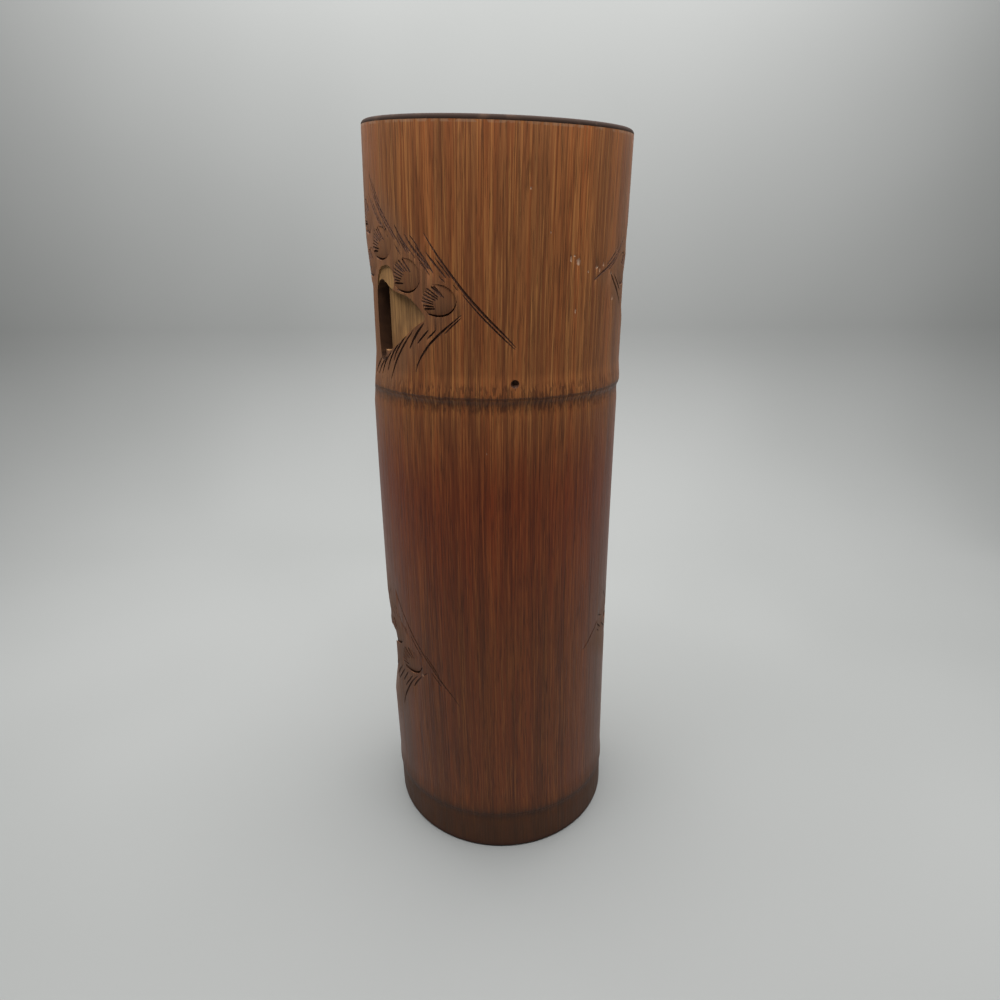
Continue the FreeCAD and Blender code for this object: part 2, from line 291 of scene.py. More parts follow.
def extrude(move):
    """Extrudes what is selected in edit mode."""
    bpy.ops.mesh.extrude_region_move(TRANSFORM_OT_translate={"value": move})


def link_new(name, data, matrix=None):
    """New object in the scene, at a place."""
    piece = bpy.data.objects.new(name, data)
    bpy.context.scene.collection.objects.link(piece)
    if matrix:
        piece.matrix_world = matrix
    return piece


def fused(pieces, name):
    """One closed tool made of several placed ones."""
    make_active(*pieces)
    bpy.ops.object.transform_apply()
    tool = joined(pieces, name)
    close_up(tool)
    return tool


def give_finishes(piece, finishes, index):
    """Gives a mesh its material slots and all its faces one of them."""
    piece.data.materials.clear()
    for finish in finishes:
        piece.data.materials.append(finish)
    piece.data.polygons.foreach_set("material_index", [index] * len(piece.data.polygons))


def cut_away(piece, cutter):
    """Takes a closed cutter out of a piece and deletes the cutter."""
    make_active(piece)
    modifier = piece.modifiers.new("cut", "BOOLEAN")
    modifier.operation = "DIFFERENCE"
    modifier.solver = "MANIFOLD"
    modifier.object = cutter
    faces_before = len(piece.data.polygons)
    bpy.ops.object.modifier_apply(modifier=modifier.name)
    if len(piece.data.polygons) < faces_before // 2:
        raise RuntimeError("the cut " + cutter.name + " failed")
    bpy.data.objects.remove(cutter)


def curve_tool(name, lines, matrix=None, kind="POLY", cyclic=True, **settings):
    """Closed mesh of a curve through lines of points, each with its radius."""
    curve = bpy.data.curves.new(name, "CURVE")
    for setting, value in settings.items():
        setattr(curve, setting, value)
    for line in lines:
        spline = curve.splines.new(kind)
        spline.points.add(len(line) - 1)
        for point, (place, radius) in zip(spline.points, line):
            point.co = (*place, 1.0)
            point.radius = radius
        spline.use_cyclic_u = cyclic
        if kind == "NURBS":
            spline.order_u = 3
            spline.resolution_u = 4
    make_active(link_new(name, curve, matrix))
    bpy.ops.object.convert(target="MESH")
    bpy.ops.object.transform_apply()
    close_up(bpy.context.object)
    return bpy.context.object


# The wall of the culm

# The cut foot lies this far above the ground plane, inside the CAD's box
FOOT_LIFT = 0.00001

# Rings over each node and between them, and steps round each edge of the rim
FOOT_NODE_RINGS, MIDDLE_NODE_RINGS, LOWER_RINGS, UPPER_RINGS, EDGE_STEPS = 18, 24, 9, 5, 6

# Depths of the bore's rings below the rim, places of its rings round a septum in reaches of the node, and number
# and distance of its rings between the septa
MOUTH_DEPTHS = (0.03, 0.05)
SEPTUM_PLACES = (1.0, 0.67, 0.33, 0.0, -0.33, -0.67, -1.0)
BORE_RINGS, BORE_STEP = 8, 0.02

# Shares of the sizes within which a face counts as part of the rim, the bore or the foot
RIM_ROUND_SHARE, RIM_WALL_SHARE, BORE_WALL_SHARE, FOOT_EDGE_SHARE = 0.93, 0.97, 0.8, 0.9

# Turns of a ring below this angle are left out
LEAST_TURN = 1e-9


def culm_rings():
    """Rings as height, radius, rise of the front and fall towards +X. They go up the outside, over the rim and
    down the bore."""
    size = culm()
    rings = [(FOOT_LIFT, outer_radius(0.0) - size.foot_break, 0.0, 0.0),
             (size.foot_break, outer_radius(size.foot_break), 0.0, 0.0)]

    def node_rings(node, ridge, count):
        for step in range(count + 1):
            distance = size.node_reach * (2.0 * step / count - 1.0)
            radius = outer_radius(node + distance) + node_change(distance, ridge)
            rings.append((node + distance, radius, size.node_rise, 0.0))

    def plain_rings(low, high, count, high_rise):
        for step in range(1, count + 1):
            share = step / (count + 1.0)
            height = low + (high - low) * share
            rise = size.node_rise + (high_rise - size.node_rise) * share
            rings.append((height, outer_radius(height), rise, 0.0))

    node_rings(size.foot_node, size.foot_ridge, FOOT_NODE_RINGS)
    plain_rings(size.foot_node + size.node_reach, size.middle_node - size.node_reach, LOWER_RINGS, size.node_rise)
    node_rings(size.middle_node, size.middle_ridge, MIDDLE_NODE_RINGS)
    rim_low = size.height - size.rim_outer_round
    plain_rings(size.middle_node + size.node_reach, rim_low, UPPER_RINGS, 0.0)
    rim = outer_radius(size.height)
    slope = size.rim_fall / size.rim_radius
    turns = [QUARTER_TURN * step / EDGE_STEPS for step in range(EDGE_STEPS + 1)]
    for turn in turns:
        radius = rim - size.rim_outer_round * (1.0 - math.cos(turn))
        rings.append((rim_low + size.rim_outer_round * math.sin(turn), radius, 0.0, slope * radius))
    for turn in turns:
        radius = rim - size.wall + size.rim_inner_round * (1.0 - math.sin(turn))
        rings.append((size.height - size.rim_inner_round * (1.0 - math.cos(turn)), radius, 0.0, slope * radius))
    heights = [size.height - depth for depth in MOUTH_DEPTHS]
    for node, more in ((size.middle_node, BORE_RINGS), (size.foot_node, 0)):
        heights += [node + size.node_reach * share for share in SEPTUM_PLACES]
        heights += [node - size.node_reach - BORE_STEP * (step + 1) for step in range(more)]
    for height in heights:
        distance = min(abs(height - size.middle_node), abs(height - size.foot_node)) / size.node_reach
        swelling = size.inner_swelling * (1.0 - eased(distance))
        rings.append((height, outer_radius(height) - size.wall - swelling, size.node_rise, 0.0))
    rings.append((FOOT_LIFT, outer_radius(0.0) - size.wall, 0.0, 0.0))
    return rings


def extruded_rings(name, rings, sides, centre_at):
    """Tube made of one circle extruded from ring to ring and bridged back to its first ring."""
    height, radius, *turns = rings[0]
    deselect_all()
    bpy.ops.mesh.primitive_circle_add(vertices=sides, radius=radius, fill_type="NOTHING",
                                      location=(centre_at(height), 0.0, height))
    piece = bpy.context.object
    piece.name = name
    bpy.ops.object.transform_apply()
    set_mode("EDIT")
    for new_height, new_radius, *new_turns in rings[1:]:
        step = (centre_at(new_height) - centre_at(height), 0.0, new_height - height)
        centre = (centre_at(new_height), 0.0, new_height)
        extrude(step)
        growth = new_radius / radius
        bpy.ops.transform.resize(value=(growth, growth, 1.0), center_override=centre)
        for axis, way, new, old in zip("XY", (1.0, -1.0), new_turns, turns):
            lean = math.asin(new / new_radius) - math.asin(old / new_radius)
            if abs(lean) > LEAST_TURN:
                bpy.ops.transform.rotate(value=way * lean, orient_axis=axis, center_override=centre)
        height, radius, turns = new_height, new_radius, new_turns
    set_mode("OBJECT")
    count = len(piece.data.vertices)
    ends = set(range(sides)) | set(range(count - sides, count))
    for vertex in piece.data.vertices:
        vertex.select = vertex.index in ends
    for edge in piece.data.edges:
        edge.select = ends.issuperset(edge.vertices)
    for face in piece.data.polygons:
        face.select = False
    set_mode("EDIT")
    bpy.ops.mesh.select_mode(type="EDGE")
    bpy.ops.mesh.bridge_edge_loops()
    bpy.ops.mesh.select_all(action="SELECT")
    bpy.ops.mesh.normals_make_consistent(inside=False)
    bpy.ops.mesh.select_mode(type="VERT")
    set_mode("OBJECT")
    return piece


def finish_by_place(piece):
    """Gives the wall's faces their finish: skin outside, bore inside, grain on the rim and under the foot."""
    size = culm()
    for face in piece.data.polygons:
        x, y, z = face.center
        reach = math.hypot(x - axis_offset(z), y)
        rim_edge = size.height - x * size.rim_fall / size.rim_radius - size.rim_outer_round * RIM_ROUND_SHARE
        if z > rim_edge and reach > size.rim_radius - size.wall * RIM_WALL_SHARE:
            face.material_index = RIM
        elif reach < outer_radius(z) - size.wall * BORE_WALL_SHARE:
            face.material_index = BORE
        elif z < size.foot_break * FOOT_EDGE_SHARE:
            face.material_index = FOOT
        else:
            face.material_index = SKIN


# Carving tables. Windows: azimuth, height, width, height of the opening
WINDOWS = [
    (-56.7, 239.2, 5.2, 28.4), (-75.4, 240.0, 16.6, 24.6), (-102.0, 243.1, 11.0, 24.0),
    (-129.0, 240.9, 11.0, 24.0), (-155.0, 240.4, 11.0, 22.8), (177.0, 242.5, 11.0, 24.0),
    (150.0, 240.9, 11.0, 24.0), (125.0, 241.9, 11.0, 24.0), (101.0, 240.0, 11.0, 24.0),
    (85.0, 246.5, 8.0, 12.0),
    (-71.5, 92.1, 13.4, 18.7), (-98.0, 91.5, 11.6, 20.4), (-125.0, 90.0, 11.0, 20.4),
    (-151.0, 89.1, 10.5, 19.2), (-178.0, 91.5, 11.0, 20.4), (154.0, 90.3, 10.5, 19.2),
    (135.0, 92.4, 8.8, 16.8), (116.0, 92.1, 11.0, 20.4), (92.0, 91.5, 11.0, 19.2),
]

# Outline of a window in halves of its width and height
WINDOW_OUTLINE = [(1.03, -0.50), (1.04, 0.0), (1.06, 0.55), (1.12, 0.97), (0.72, 1.06), (0.0, 1.04), (-0.62, 0.98),
                  (-0.98, 0.76), (-1.02, 0.4), (-1.0, 0.0), (-0.92, -0.50), (-0.70, -0.86), (-0.25, -1.06),
                  (0.35, -0.98), (0.98, -0.90)]

# How far a window's tool runs past the bore
INNER_OVERRUN = 0.003


def flat_cutter(name, outline, azimuth, height, bottom, top, slope=0.0):
    """Closed prism with a rounded outline in millimetres, from bottom to top along the wall's normal."""
    matrix = on_wall(azimuth, height * MM) @ Matrix.Rotation(slope, 4, "Y")
    line = [((across * MM, up * MM, 0.0), 1.0) for across, up in outline]
    return curve_tool(name, [line], matrix @ Matrix.Translation(UP * ((top + bottom) / 2.0)), "NURBS",
                      dimensions="2D", fill_mode="BOTH", extrude=(top - bottom) / 2.0)


def window_cutters():
    """All pierced windows, which don't touch each other."""
    bottom = -culm().wall - INNER_OVERRUN
    cutters = []
    for azimuth, height, width, tall in WINDOWS:
        outline = [(across * width / 2.0, up * tall / 2.0) for across, up in WINDOW_OUTLINE]
        cutters.append(flat_cutter("window", outline, azimuth, height, bottom, carving().overrun))
    return joined(cutters, "window_cutters")


# Sloping grounds: azimuth and height of the deep edge, its length, and the reach to the tip
GROUNDS = [
    (-54.4, 239.5, 22.0, 21.7), (-95.5, 243.1, 14.4, 10.1), (-135.6, 240.9, 14.4, -10.1),
    (131.6, 241.9, 14.4, 10.1), (94.5, 240.0, 14.4, -10.1), (-91.3, 91.5, 12.0, 9.1),
    (-131.4, 90.0, 12.0, -9.1), (122.4, 92.1, 12.0, 9.1), (85.6, 91.5, 11.0, -7.2),
]

# Outline of a ground in shares of its reach and halves of its deep edge
GROUND_OUTLINE = [(0.04, -1.02), (-0.03, -0.72), (-0.03, 0.0), (-0.02, 1.22), (0.08, 1.28), (0.17, 1.10),
                  (0.50, 0.98), (0.68, 0.92), (0.84, 0.70), (0.97, 0.46), (1.03, 0.24), (0.88, 0.08),
                  (0.72, -0.15), (0.50, -0.49), (0.27, -0.84)]

# Depth of a ground at its tip
TIP_DEPTH = 0.0003


def shaving_cutters():
    """Tools for the flat shavings: each is its profile up the wall, extruded along the tangent."""
    cutters = []
    for row in SHAVINGS:
        azimuth, low, high, depth, low_run, high_run = row
        start, end = low + low_run, high - high_run
        near = outer_radius(low * MM)
        profile = []
        for level in (low, start, start + (end - start) / 3.0, start + (end - start) * 2.0 / 3.0, end, high):
            height = level * MM
            sideways = axis_offset(height) * math.sin(math.radians(azimuth))
            profile.append((outer_radius(height) - depth * MM * facet_share(row, height) + sideways, height))
        far = near + 2.0 * carving().overrun
        profile += [(far, high * MM), (far, low * MM)]
        line = [((reach, height, 0.0), 1.0) for reach, height in profile]
        out = outwards(azimuth)
        cutters.append(curve_tool("shaving", [line], axes_matrix(out, UP, out.cross(UP)), dimensions="2D",
                                  fill_mode="BOTH", extrude=near * 0.5))
    return joined(cutters, "shaving_cutters")


# Shallow hollows between the tufts: azimuth and height of the middle, depth and outline in millimetres
HOLLOWS = [
    (-52.6, 255.6, 0.7, [(-3.4, 2.2), (-0.4, 3.6), (3.4, 3.8), (5.8, 1.6), (6.4, -2.6), (4.6, -5.6), (-1.0, -5.8),
                         (-6.2, -4.6), (-5.2, -0.8)]),
]


def hollow_cutters():
    """Tools for the shallow hollows between the tufts."""
    cutters = [flat_cutter("hollow", outline, azimuth, height, -depth * MM, carving().overrun)
               for azimuth, height, depth, outline in HOLLOWS]
    return joined(cutters, "hollow_cutters")


def ground_cutters():
    """All lowered grounds, each deepest beside its window and running out at its tip."""
    cutters = []
    depth = carving().ground_depth
    for azimuth, height, tall, reach in GROUNDS:
        outline = [(across * reach, up * tall / 2.0) for across, up in GROUND_OUTLINE]
        if reach < 0.0:
            outline.reverse()
        radius = outer_radius(height * MM)
        run = abs(reach) * MM
        surface_drop = radius - math.sqrt(radius * radius - run * run)
        slope = math.atan2(depth - surface_drop - TIP_DEPTH, run) * (-1.0 if reach > 0.0 else 1.0)
        cutters.append(flat_cutter("ground", outline, azimuth, height, -depth, carving().overrun, slope))
    return joined(cutters, "ground_cutters")


# Tufts: azimuth, height, half width, half height
TUFTS = [
    (-69.0, 275.2, 6.9, 6.4), (-55.0, 266.4, 7.4, 5.7), (-66.0, 259.4, 6.0, 5.2), (-38.9, 256.4, 6.9, 5.9),
    (-23.2, 248.8, 6.9, 5.5),
    (-83.5, 267.5, 6.4, 6.2), (-97.0, 275.7, 6.4, 6.2), (-98.0, 260.6, 6.4, 6.0), (-111.5, 268.1, 6.4, 6.2),
    (-125.5, 274.8, 6.4, 6.2), (-126.0, 259.9, 6.4, 6.2), (-140.0, 267.8, 6.4, 6.2), (-153.5, 261.1, 6.1, 5.9),
    (-167.0, 267.8, 6.4, 6.2), (179.0, 273.3, 6.4, 6.2), (178.5, 259.9, 6.4, 6.2), (165.5, 266.6, 6.1, 6.0),
    (69.6, 256.4, 6.9, 5.9), (83.0, 266.0, 6.4, 6.2), (96.5, 273.3, 6.4, 6.2), (97.5, 257.4, 6.4, 6.0),
    (111.0, 265.4, 6.4, 6.2), (124.5, 273.0, 6.4, 6.2), (125.0, 258.6, 6.4, 6.2), (138.5, 266.3, 6.4, 6.2),
    (152.0, 259.3, 6.1, 5.9),
    (-48.8, 93.0, 7.7, 6.1), (-63.4, 101.9, 8.0, 6.0), (-77.5, 108.6, 6.4, 6.3), (-91.5, 115.6, 6.4, 6.3),
    (-98.5, 106.1, 5.5, 5.3), (-112.0, 111.3, 6.4, 6.3), (-125.0, 104.9, 6.1, 6.0), (-139.0, 109.8, 6.4, 6.3),
    (-152.5, 104.6, 6.1, 6.0), (-166.0, 111.0, 6.4, 6.3), (-179.5, 106.8, 6.4, 6.3), (166.5, 113.5, 6.4, 6.3),
    (153.0, 106.8, 6.1, 6.0), (79.0, 106.0, 6.4, 6.3), (92.5, 113.5, 6.4, 6.3), (105.5, 106.8, 6.1, 6.0),
    (119.0, 113.5, 6.4, 6.3), (132.5, 106.4, 6.1, 6.0), (144.5, 115.9, 5.8, 5.7),
]


# Axis about which a tuft's dome leans, for a tuft whose cut edge is on its right
LEAN_AXIS = (0.55, 0.85)

# Sides of a tuft's tool, shares of its radius at which its rings lie, and how its dome steepens towards the edge
DOME_SIDES = 48
DOME_RINGS = (1.0, 0.94, 0.84, 0.7, 0.54, 0.36, 0.18)
DOME_POWER = 2.4

# Least gap between two cutters of the same group: tufts, and strokes
TUFT_GAP, STROKE_GAP = 0.0004, 0.0014


def tuft_side(azimuth):
    """1 where a tuft's cut edge is on its right and -1 where it is on its left: it faces the plain front."""
    return 1.0 if azimuth < 0.0 else -1.0


def tuft_matrix(azimuth, height, half_width, half_height):
    """Place of a unit tuft on the wall, tilted so that its dome sinks towards its cut edge."""
    axis = Vector((LEAN_AXIS[0], tuft_side(azimuth) * LEAN_AXIS[1], 0.0)).normalized()
    size = Matrix.Diagonal((half_width * MM, half_height * MM, 1.0, 1.0))
    return on_wall(azimuth, height * MM) @ Matrix.Rotation(carving().tuft_lean, 4, axis) @ size


def dome_depth(share):
    """Depth of a tuft's dome below the skin at a share of its radius."""
    return carving().tuft_sink + carving().tuft_drop * share ** DOME_POWER


def tuft_cutter():
    """Unit tool whose underside is a tuft's dome: a circle extruded down and drawn in to a crown."""
    deselect_all()
    level = carving().overrun
    bpy.ops.mesh.primitive_circle_add(vertices=DOME_SIDES, radius=1.0, fill_type="NGON", location=UP * level)
    cutter = bpy.context.object
    bpy.ops.object.transform_apply()
    set_mode("EDIT")
    bpy.ops.mesh.select_all(action="SELECT")
    before = 1.0
    for share in DOME_RINGS:
        new_level = -dome_depth(share)
        growth = share / before
        extrude(UP * (new_level - level))
        bpy.ops.transform.resize(value=(growth, growth, 1.0), center_override=(0.0, 0.0, new_level))
        before, level = share, new_level
    extrude(UP * (-dome_depth(0.0) - level))
    bpy.ops.mesh.merge(type="CENTER")
    set_mode("OBJECT")
    return cutter


def grouped_apart(items, apart):
    """Items sorted into groups whose members stay apart, each in the first group that takes it."""
    groups = []
    for item in items:
        for group in groups:
            if all(apart(item, other) for other in group):
                group.append(item)
                break
        else:
            groups.append([item])
    return groups


def tufts_apart(tuft, other):
    """Whether two tufts stay clear of each other."""
    gap = (tuft_matrix(*tuft).translation - tuft_matrix(*other).translation).length
    return gap > (max(tuft[2:]) + max(other[2:])) * MM + TUFT_GAP


def tuft_cutters():
    """The tuft tool copied to every tuft, one cutter for each group of tufts that don't touch."""
    model = tuft_cutter()
    cutters = []
    for group in grouped_apart(TUFTS, tufts_apart):
        pieces = [link_new("tuft", model.data.copy(), tuft_matrix(*tuft)) for tuft in group]
        cutters.append(fused(pieces, "tuft_cutters"))
    bpy.data.objects.remove(model)
    return cutters


# Strokes are lists of points with their half width. Each is a groove with a round bottom

# Kinds of strokes: power of the swelling from the ends to the middle, half width at the ends as a share of the
# full one, height of the middle line above the surface at the ends and how much it sinks where the stroke is
# full, both in full half widths
NEEDLE, RIB, CRESCENT, HATCH = ((0.65, 0.22, 0.45, 0.6), (0.6, 0.3, 0.25, 0.55), (0.6, 0.25, 0.5, 0.7),
                                (0.6, 0.3, 0.25, 0.0))

# Millimetres along the skin for each degree round it
ARC = 0.88

# Where a needle stroke's points lie, in millimetres apart
STROKE_STEP = 2.2


def smooth_route(corners):
    """Evenly spaced points on a smooth line through corners given as azimuth and height in millimetres."""
    if len(corners) == 2:
        middle = tuple((first + last) / 2.0 for first, last in zip(*corners))
        corners = [corners[0], middle, corners[1]]
    points = []
    for index in range(len(corners) - 1):
        before = corners[max(index - 1, 0)]
        start, end = corners[index:index + 2]
        after = corners[min(index + 2, len(corners) - 1)]
        span = math.hypot((end[0] - start[0]) * ARC, end[1] - start[1])
        count = max(1, round(span / STROKE_STEP))
        for part in range(count):
            t = part / count
            blend = []
            for axis in (0, 1):
                slope_in = (end[axis] - before[axis]) / 2.0
                slope_out = (after[axis] - start[axis]) / 2.0
                blend.append((2 * t ** 3 - 3 * t ** 2 + 1) * start[axis] + (t ** 3 - 2 * t ** 2 + t) * slope_in
                             + (3 * t ** 2 - 2 * t ** 3) * end[axis] + (t ** 3 - t ** 2) * slope_out)
            points.append(tuple(blend))
    return points + [corners[-1]]


def swelling(kind, share, radius):
    """Height above the surface and half width of a kind of stroke at a share of its length."""
    power, least, lift, sink = kind
    full = math.sin(math.pi * share) ** power
    return radius * (lift - sink * full), radius * (least + (1.0 - least) * full)


def skin_stroke(corners, radius, swell=0.5):
    """Groove along the skin, thickest at a share of its length and running out at both ends."""
    route = smooth_route(corners)
    stroke = []
    for index, (azimuth, height) in enumerate(route):
        bend = (index / (len(route) - 1)) ** (math.log(0.5) / math.log(swell))
        lift, half_width = swelling(NEEDLE, bend, radius)
        stroke.append((skin_point(azimuth, height * MM, -lift), half_width))
    return stroke


def rib_strokes(tuft, chance):
    """Ribs of a tuft: they start on the edge away from its crescent and run towards a point near the crescent."""
    side = tuft_side(tuft[0])
    matrix = tuft_matrix(*tuft)
    radius = carving().rib_radius
    focus = Vector((0.84, -0.43))
    ribs, parts = 9, 4
    strokes = []
    for rib in range(ribs):
        share_round = rib / (ribs - 1.0)
        turn = math.radians(101.0 + 112.0 * share_round + chance.uniform(-3.0, 3.0))
        outer = Vector((math.cos(turn), math.sin(turn))) * (0.95 - chance.uniform(0.0, 0.08))
        inner = outer.lerp(focus, 0.50 - 0.18 * share_round + chance.uniform(-0.05, 0.05))
        stroke = []
        for part in range(parts + 1):
            spot = outer.lerp(inner, part / parts)
            lift, half_width = swelling(RIB, 0.22 + 0.70 * part / parts, radius)
            level = lift - dome_depth(min(spot.length, 1.0))
            stroke.append((matrix @ Vector((side * spot.x, spot.y, level)), half_width))
        strokes.append(stroke)
    return strokes


def crescent_stroke(tuft):
    """Curved cut round the lower side of a tuft that faces the plain front."""
    side = tuft_side(tuft[0])
    matrix = tuft_matrix(*tuft)
    parts = 16
    stroke = []
    for part in range(parts + 1):
        turn = math.radians(4.0 - 132.0 * part / parts)
        lift, half_width = swelling(CRESCENT, part / parts, carving().crescent_radius)
        place = Vector((side * math.cos(turn), math.sin(turn), lift - dome_depth(1.0)))
        stroke.append((matrix @ place, half_width))
    return stroke


# Needle strokes of the side that the camera sees: share of a full width, then azimuth and height of each corner
NEEDLES = [
    (1.15, -29.8, 271.7, -24.9, 265.7, -18.7, 258.9, -11.9, 251.7, -3.0, 243.4, 3.2, 238.0, 9.6, 232.2),
    (0.80, -13.6, 251.8, -6.4, 244.9, 0.0, 239.3, 5.6, 234.6, 9.2, 231.8),
    (0.95, -28.5, 264.8, -24.0, 260.6, -18.9, 255.9),
    (1.00, -33.3, 266.7, -29.1, 262.6, -24.4, 257.3),
    (1.10, -38.8, 270.4, -36.2, 267.5, -32.9, 264.4, -29.1, 261.4, -26.2, 258.8),
    (1.00, -44.3, 273.2, -41.8, 270.0, -38.1, 266.4, -35.0, 264.0),
    (1.10, -64.0, 289.5, -58.5, 282.3, -54.0, 278.0, -49.7, 274.2, -45.3, 270.2, -41.3, 266.6, -39.6, 263.9),
    (0.90, -62.5, 284.8, -57.0, 279.2, -51.4, 274.1, -47.5, 270.9, -43.4, 267.2),
    (0.75, -44.6, 266.8, -40.7, 262.9),
    (0.80, -66.0, 283.0, -61.0, 278.4, -56.5, 274.6, -52.5, 271.8),
    (0.70, -60.5, 286.5, -56.8, 282.2, -53.6, 279.0),
    (0.70, -42.8, 269.4, -39.4, 266.2, -37.2, 263.4),
    (0.65, -36.0, 270.0, -32.6, 266.9, -30.4, 264.4),
    (0.65, -31.2, 261.2, -27.9, 258.6, -26.0, 256.6),
    (0.70, -24.4, 263.0, -20.8, 259.6, -17.4, 256.0),
    (0.60, -22.8, 257.2, -19.6, 254.6),
    (0.55, -17.0, 254.6, -14.2, 252.0),
    (1.10, -29.3, 241.4, -32.3, 238.4, -35.5, 234.5, -37.9, 230.6),
    (0.90, -27.3, 239.0, -30.1, 236.6, -33.7, 233.1),
    (0.85, -23.6, 239.4, -26.8, 236.8, -29.0, 234.9),
    (1.10, -12.0, 245.4, -16.7, 242.0, -21.6, 238.5, -26.9, 234.2, -30.5, 230.3, -33.5, 226.1, -35.0, 221.8),
    (0.70, -12.8, 243.9, -17.2, 240.6, -21.1, 237.2),
    (1.00, -34.6, 238.8, -40.1, 233.2, -44.8, 227.7, -48.5, 222.1, -50.5, 217.6),
    (0.90, -38.2, 237.0, -43.0, 232.4, -46.4, 228.6, -48.2, 224.9),
    (1.00, -42.9, 233.6, -47.9, 229.0, -51.4, 224.5, -53.2, 220.6),
    (0.95, -48.8, 229.4, -54.9, 224.4, -58.4, 218.9),
    (0.90, -52.7, 227.0, -58.9, 222.4, -62.4, 218.2),
    (0.80, -57.5, 226.0, -63.0, 221.6, -66.4, 218.0),
    (1.20, 41.8, 253.6, 44.3, 254.7, 47.7, 256.3, 52.0, 257.8, 57.1, 260.1, 61.5, 262.7, 65.9, 265.6, 70.9, 268.4),
    (0.95, 50.9, 258.4, 54.9, 260.6, 58.3, 262.6, 61.4, 264.8),
    (0.80, 52.8, 256.7, 57.2, 259.0, 61.7, 261.5, 64.5, 263.4),
    (1.00, 54.1, 256.8, 57.4, 253.7, 61.4, 250.3, 65.5, 246.6, 68.8, 242.4),
    (0.80, 57.9, 255.7, 61.9, 252.5, 67.4, 248.5),
    (1.10, -60.2, 126.3, -54.6, 118.1, -50.4, 113.2, -45.2, 107.2, -39.8, 101.6, -35.5, 97.1, -31.4, 92.8, -25.9,
     87.2, -21.7, 82.9, -16.4, 75.8),
    (0.95, -37.6, 101.0, -32.4, 95.6, -28.6, 90.9),
    (0.80, -34.8, 93.6, -30.8, 89.6, -27.4, 86.2),
    (0.90, -47.6, 106.9, -42.8, 101.8, -38.3, 97.2),
    (0.85, -66.9, 113.3, -63.4, 110.3, -60.2, 108.6),
    (0.75, -64.5, 115.5, -60.4, 111.9, -57.6, 110.0),
    (0.70, -52.6, 110.0, -48.4, 105.0),
    (1.10, -42.5, 87.6, -47.8, 82.3, -52.3, 76.1, -56.6, 69.1, -59.2, 62.4),
    (0.95, -40.0, 88.2, -43.5, 84.4, -47.4, 79.0),
    (0.90, -51.0, 85.9, -57.8, 76.9),
    (0.90, -54.0, 86.0, -63.7, 74.5),
    (0.85, -57.0, 86.3, -64.9, 76.8),
    (0.90, -47.3, 85.5, -55.8, 75.2),
    (0.70, -35.7, 91.9, -39.7, 88.3),
    (0.85, -60.5, 87.0, -70.0, 77.0),
    (1.10, 46.0, 98.5, 50.0, 100.0, 54.0, 103.0, 58.0, 105.5, 61.0, 108.0),
    (0.85, 60.0, 106.0, 66.0, 101.0),
    (0.75, 60.0, 103.0, 64.0, 100.0),
    (0.90, 61.0, 110.0, 67.0, 107.0),
    (0.95, 66.0, 104.0, 72.0, 99.0, 80.0, 95.0),
]

# Short strokes that fill the slanting border above the left tufts: start, end and number of each row
SHORT_ROWS = [
    ((-62.0, 281.0), (-50.0, 269.5), 6),
    ((-59.5, 276.5), (-50.0, 272.0), 4),
    ((-41.0, 268.0), (-28.0, 260.5), 4),
    ((-62.0, 116.5), (-52.0, 107.5), 4),
]

# Short hatch cuts in the low corner of the front ground, at the depth of its slope
HATCHES = [(-47.6, 238.0), (-45.7, 238.9), (-43.9, 238.7), (-42.2, 239.3), (-40.6, 239.1), (-39.0, 239.6),
           (-37.5, 240.1), (-49.2, 236.4)]

# Chips where the stain has flaked: azimuth, height, width and height
CHIPS = [(30.3, 262.0, 1.0, 2.4), (31.9, 262.9, 0.9, 0.9), (34.0, 261.0, 2.1, 2.8), (44.4, 258.5, 1.6, 1.2),
         (49.0, 259.2, 1.0, 1.5), (46.4, 257.6, 0.8, 1.8), (39.5, 257.4, 0.9, 1.0), (55.6, 255.6, 1.3, 1.7),
         (57.9, 246.9, 0.9, 2.2), (33.5, 244.4, 0.7, 1.7), (-39.7, 88.8, 1.5, 2.0), (-45.6, 98.6, 0.7, 1.2),
         (12.6, 284.0, 0.6, 1.1), (21.0, 270.6, 0.5, 1.0), (-3.5, 195.0, 0.5, 1.3), (139.0, 190.0, 1.2, 2.6),
         (-118.0, 66.0, 1.6, 1.9), (96.0, 226.5, 1.1, 2.1), (-150.0, 292.0, 1.2, 1.5), (166.0, 41.0, 1.4, 2.2)]


def short_strokes(chance):
    """Short slanting cuts beside the long needles."""
    strokes = []
    for first, last, count in SHORT_ROWS:
        for index in range(count):
            share = (index + chance.uniform(0.1, 0.6)) / count
            azimuth, height = (start + (end - start) * share for start, end in zip(first, last))
            run = chance.uniform(3.2, 6.5)
            corners = [(azimuth, height), (azimuth + 0.78 * run, height - 0.72 * run)]
            strokes.append(skin_stroke(corners, carving().needle_radius * chance.uniform(0.55, 0.85)))
    return strokes


def hatch_strokes(chance):
    """Short upright cuts in the front ground, which follow its slope."""
    edge_azimuth, edge_height, tall, reach = GROUNDS[0]
    radius = carving().rib_radius * 0.8
    strokes = []
    for azimuth, height in HATCHES:
        run = math.sin(math.radians(azimuth - edge_azimuth)) * outer_radius(height * MM) / (reach * MM)
        depth = carving().ground_depth * (1.0 - run)
        fall = chance.uniform(4.2, 5.6)
        stroke = []
        for share in (0.0, 1.0 / 3.0, 2.0 / 3.0, 1.0):
            lift, half_width = swelling(HATCH, 0.15 + 0.7 * share, radius)
            place = skin_point(azimuth - 0.9 * share, (height - fall * share) * MM, depth - lift)
            stroke.append((place, half_width))
        strokes.append(stroke)
    return strokes


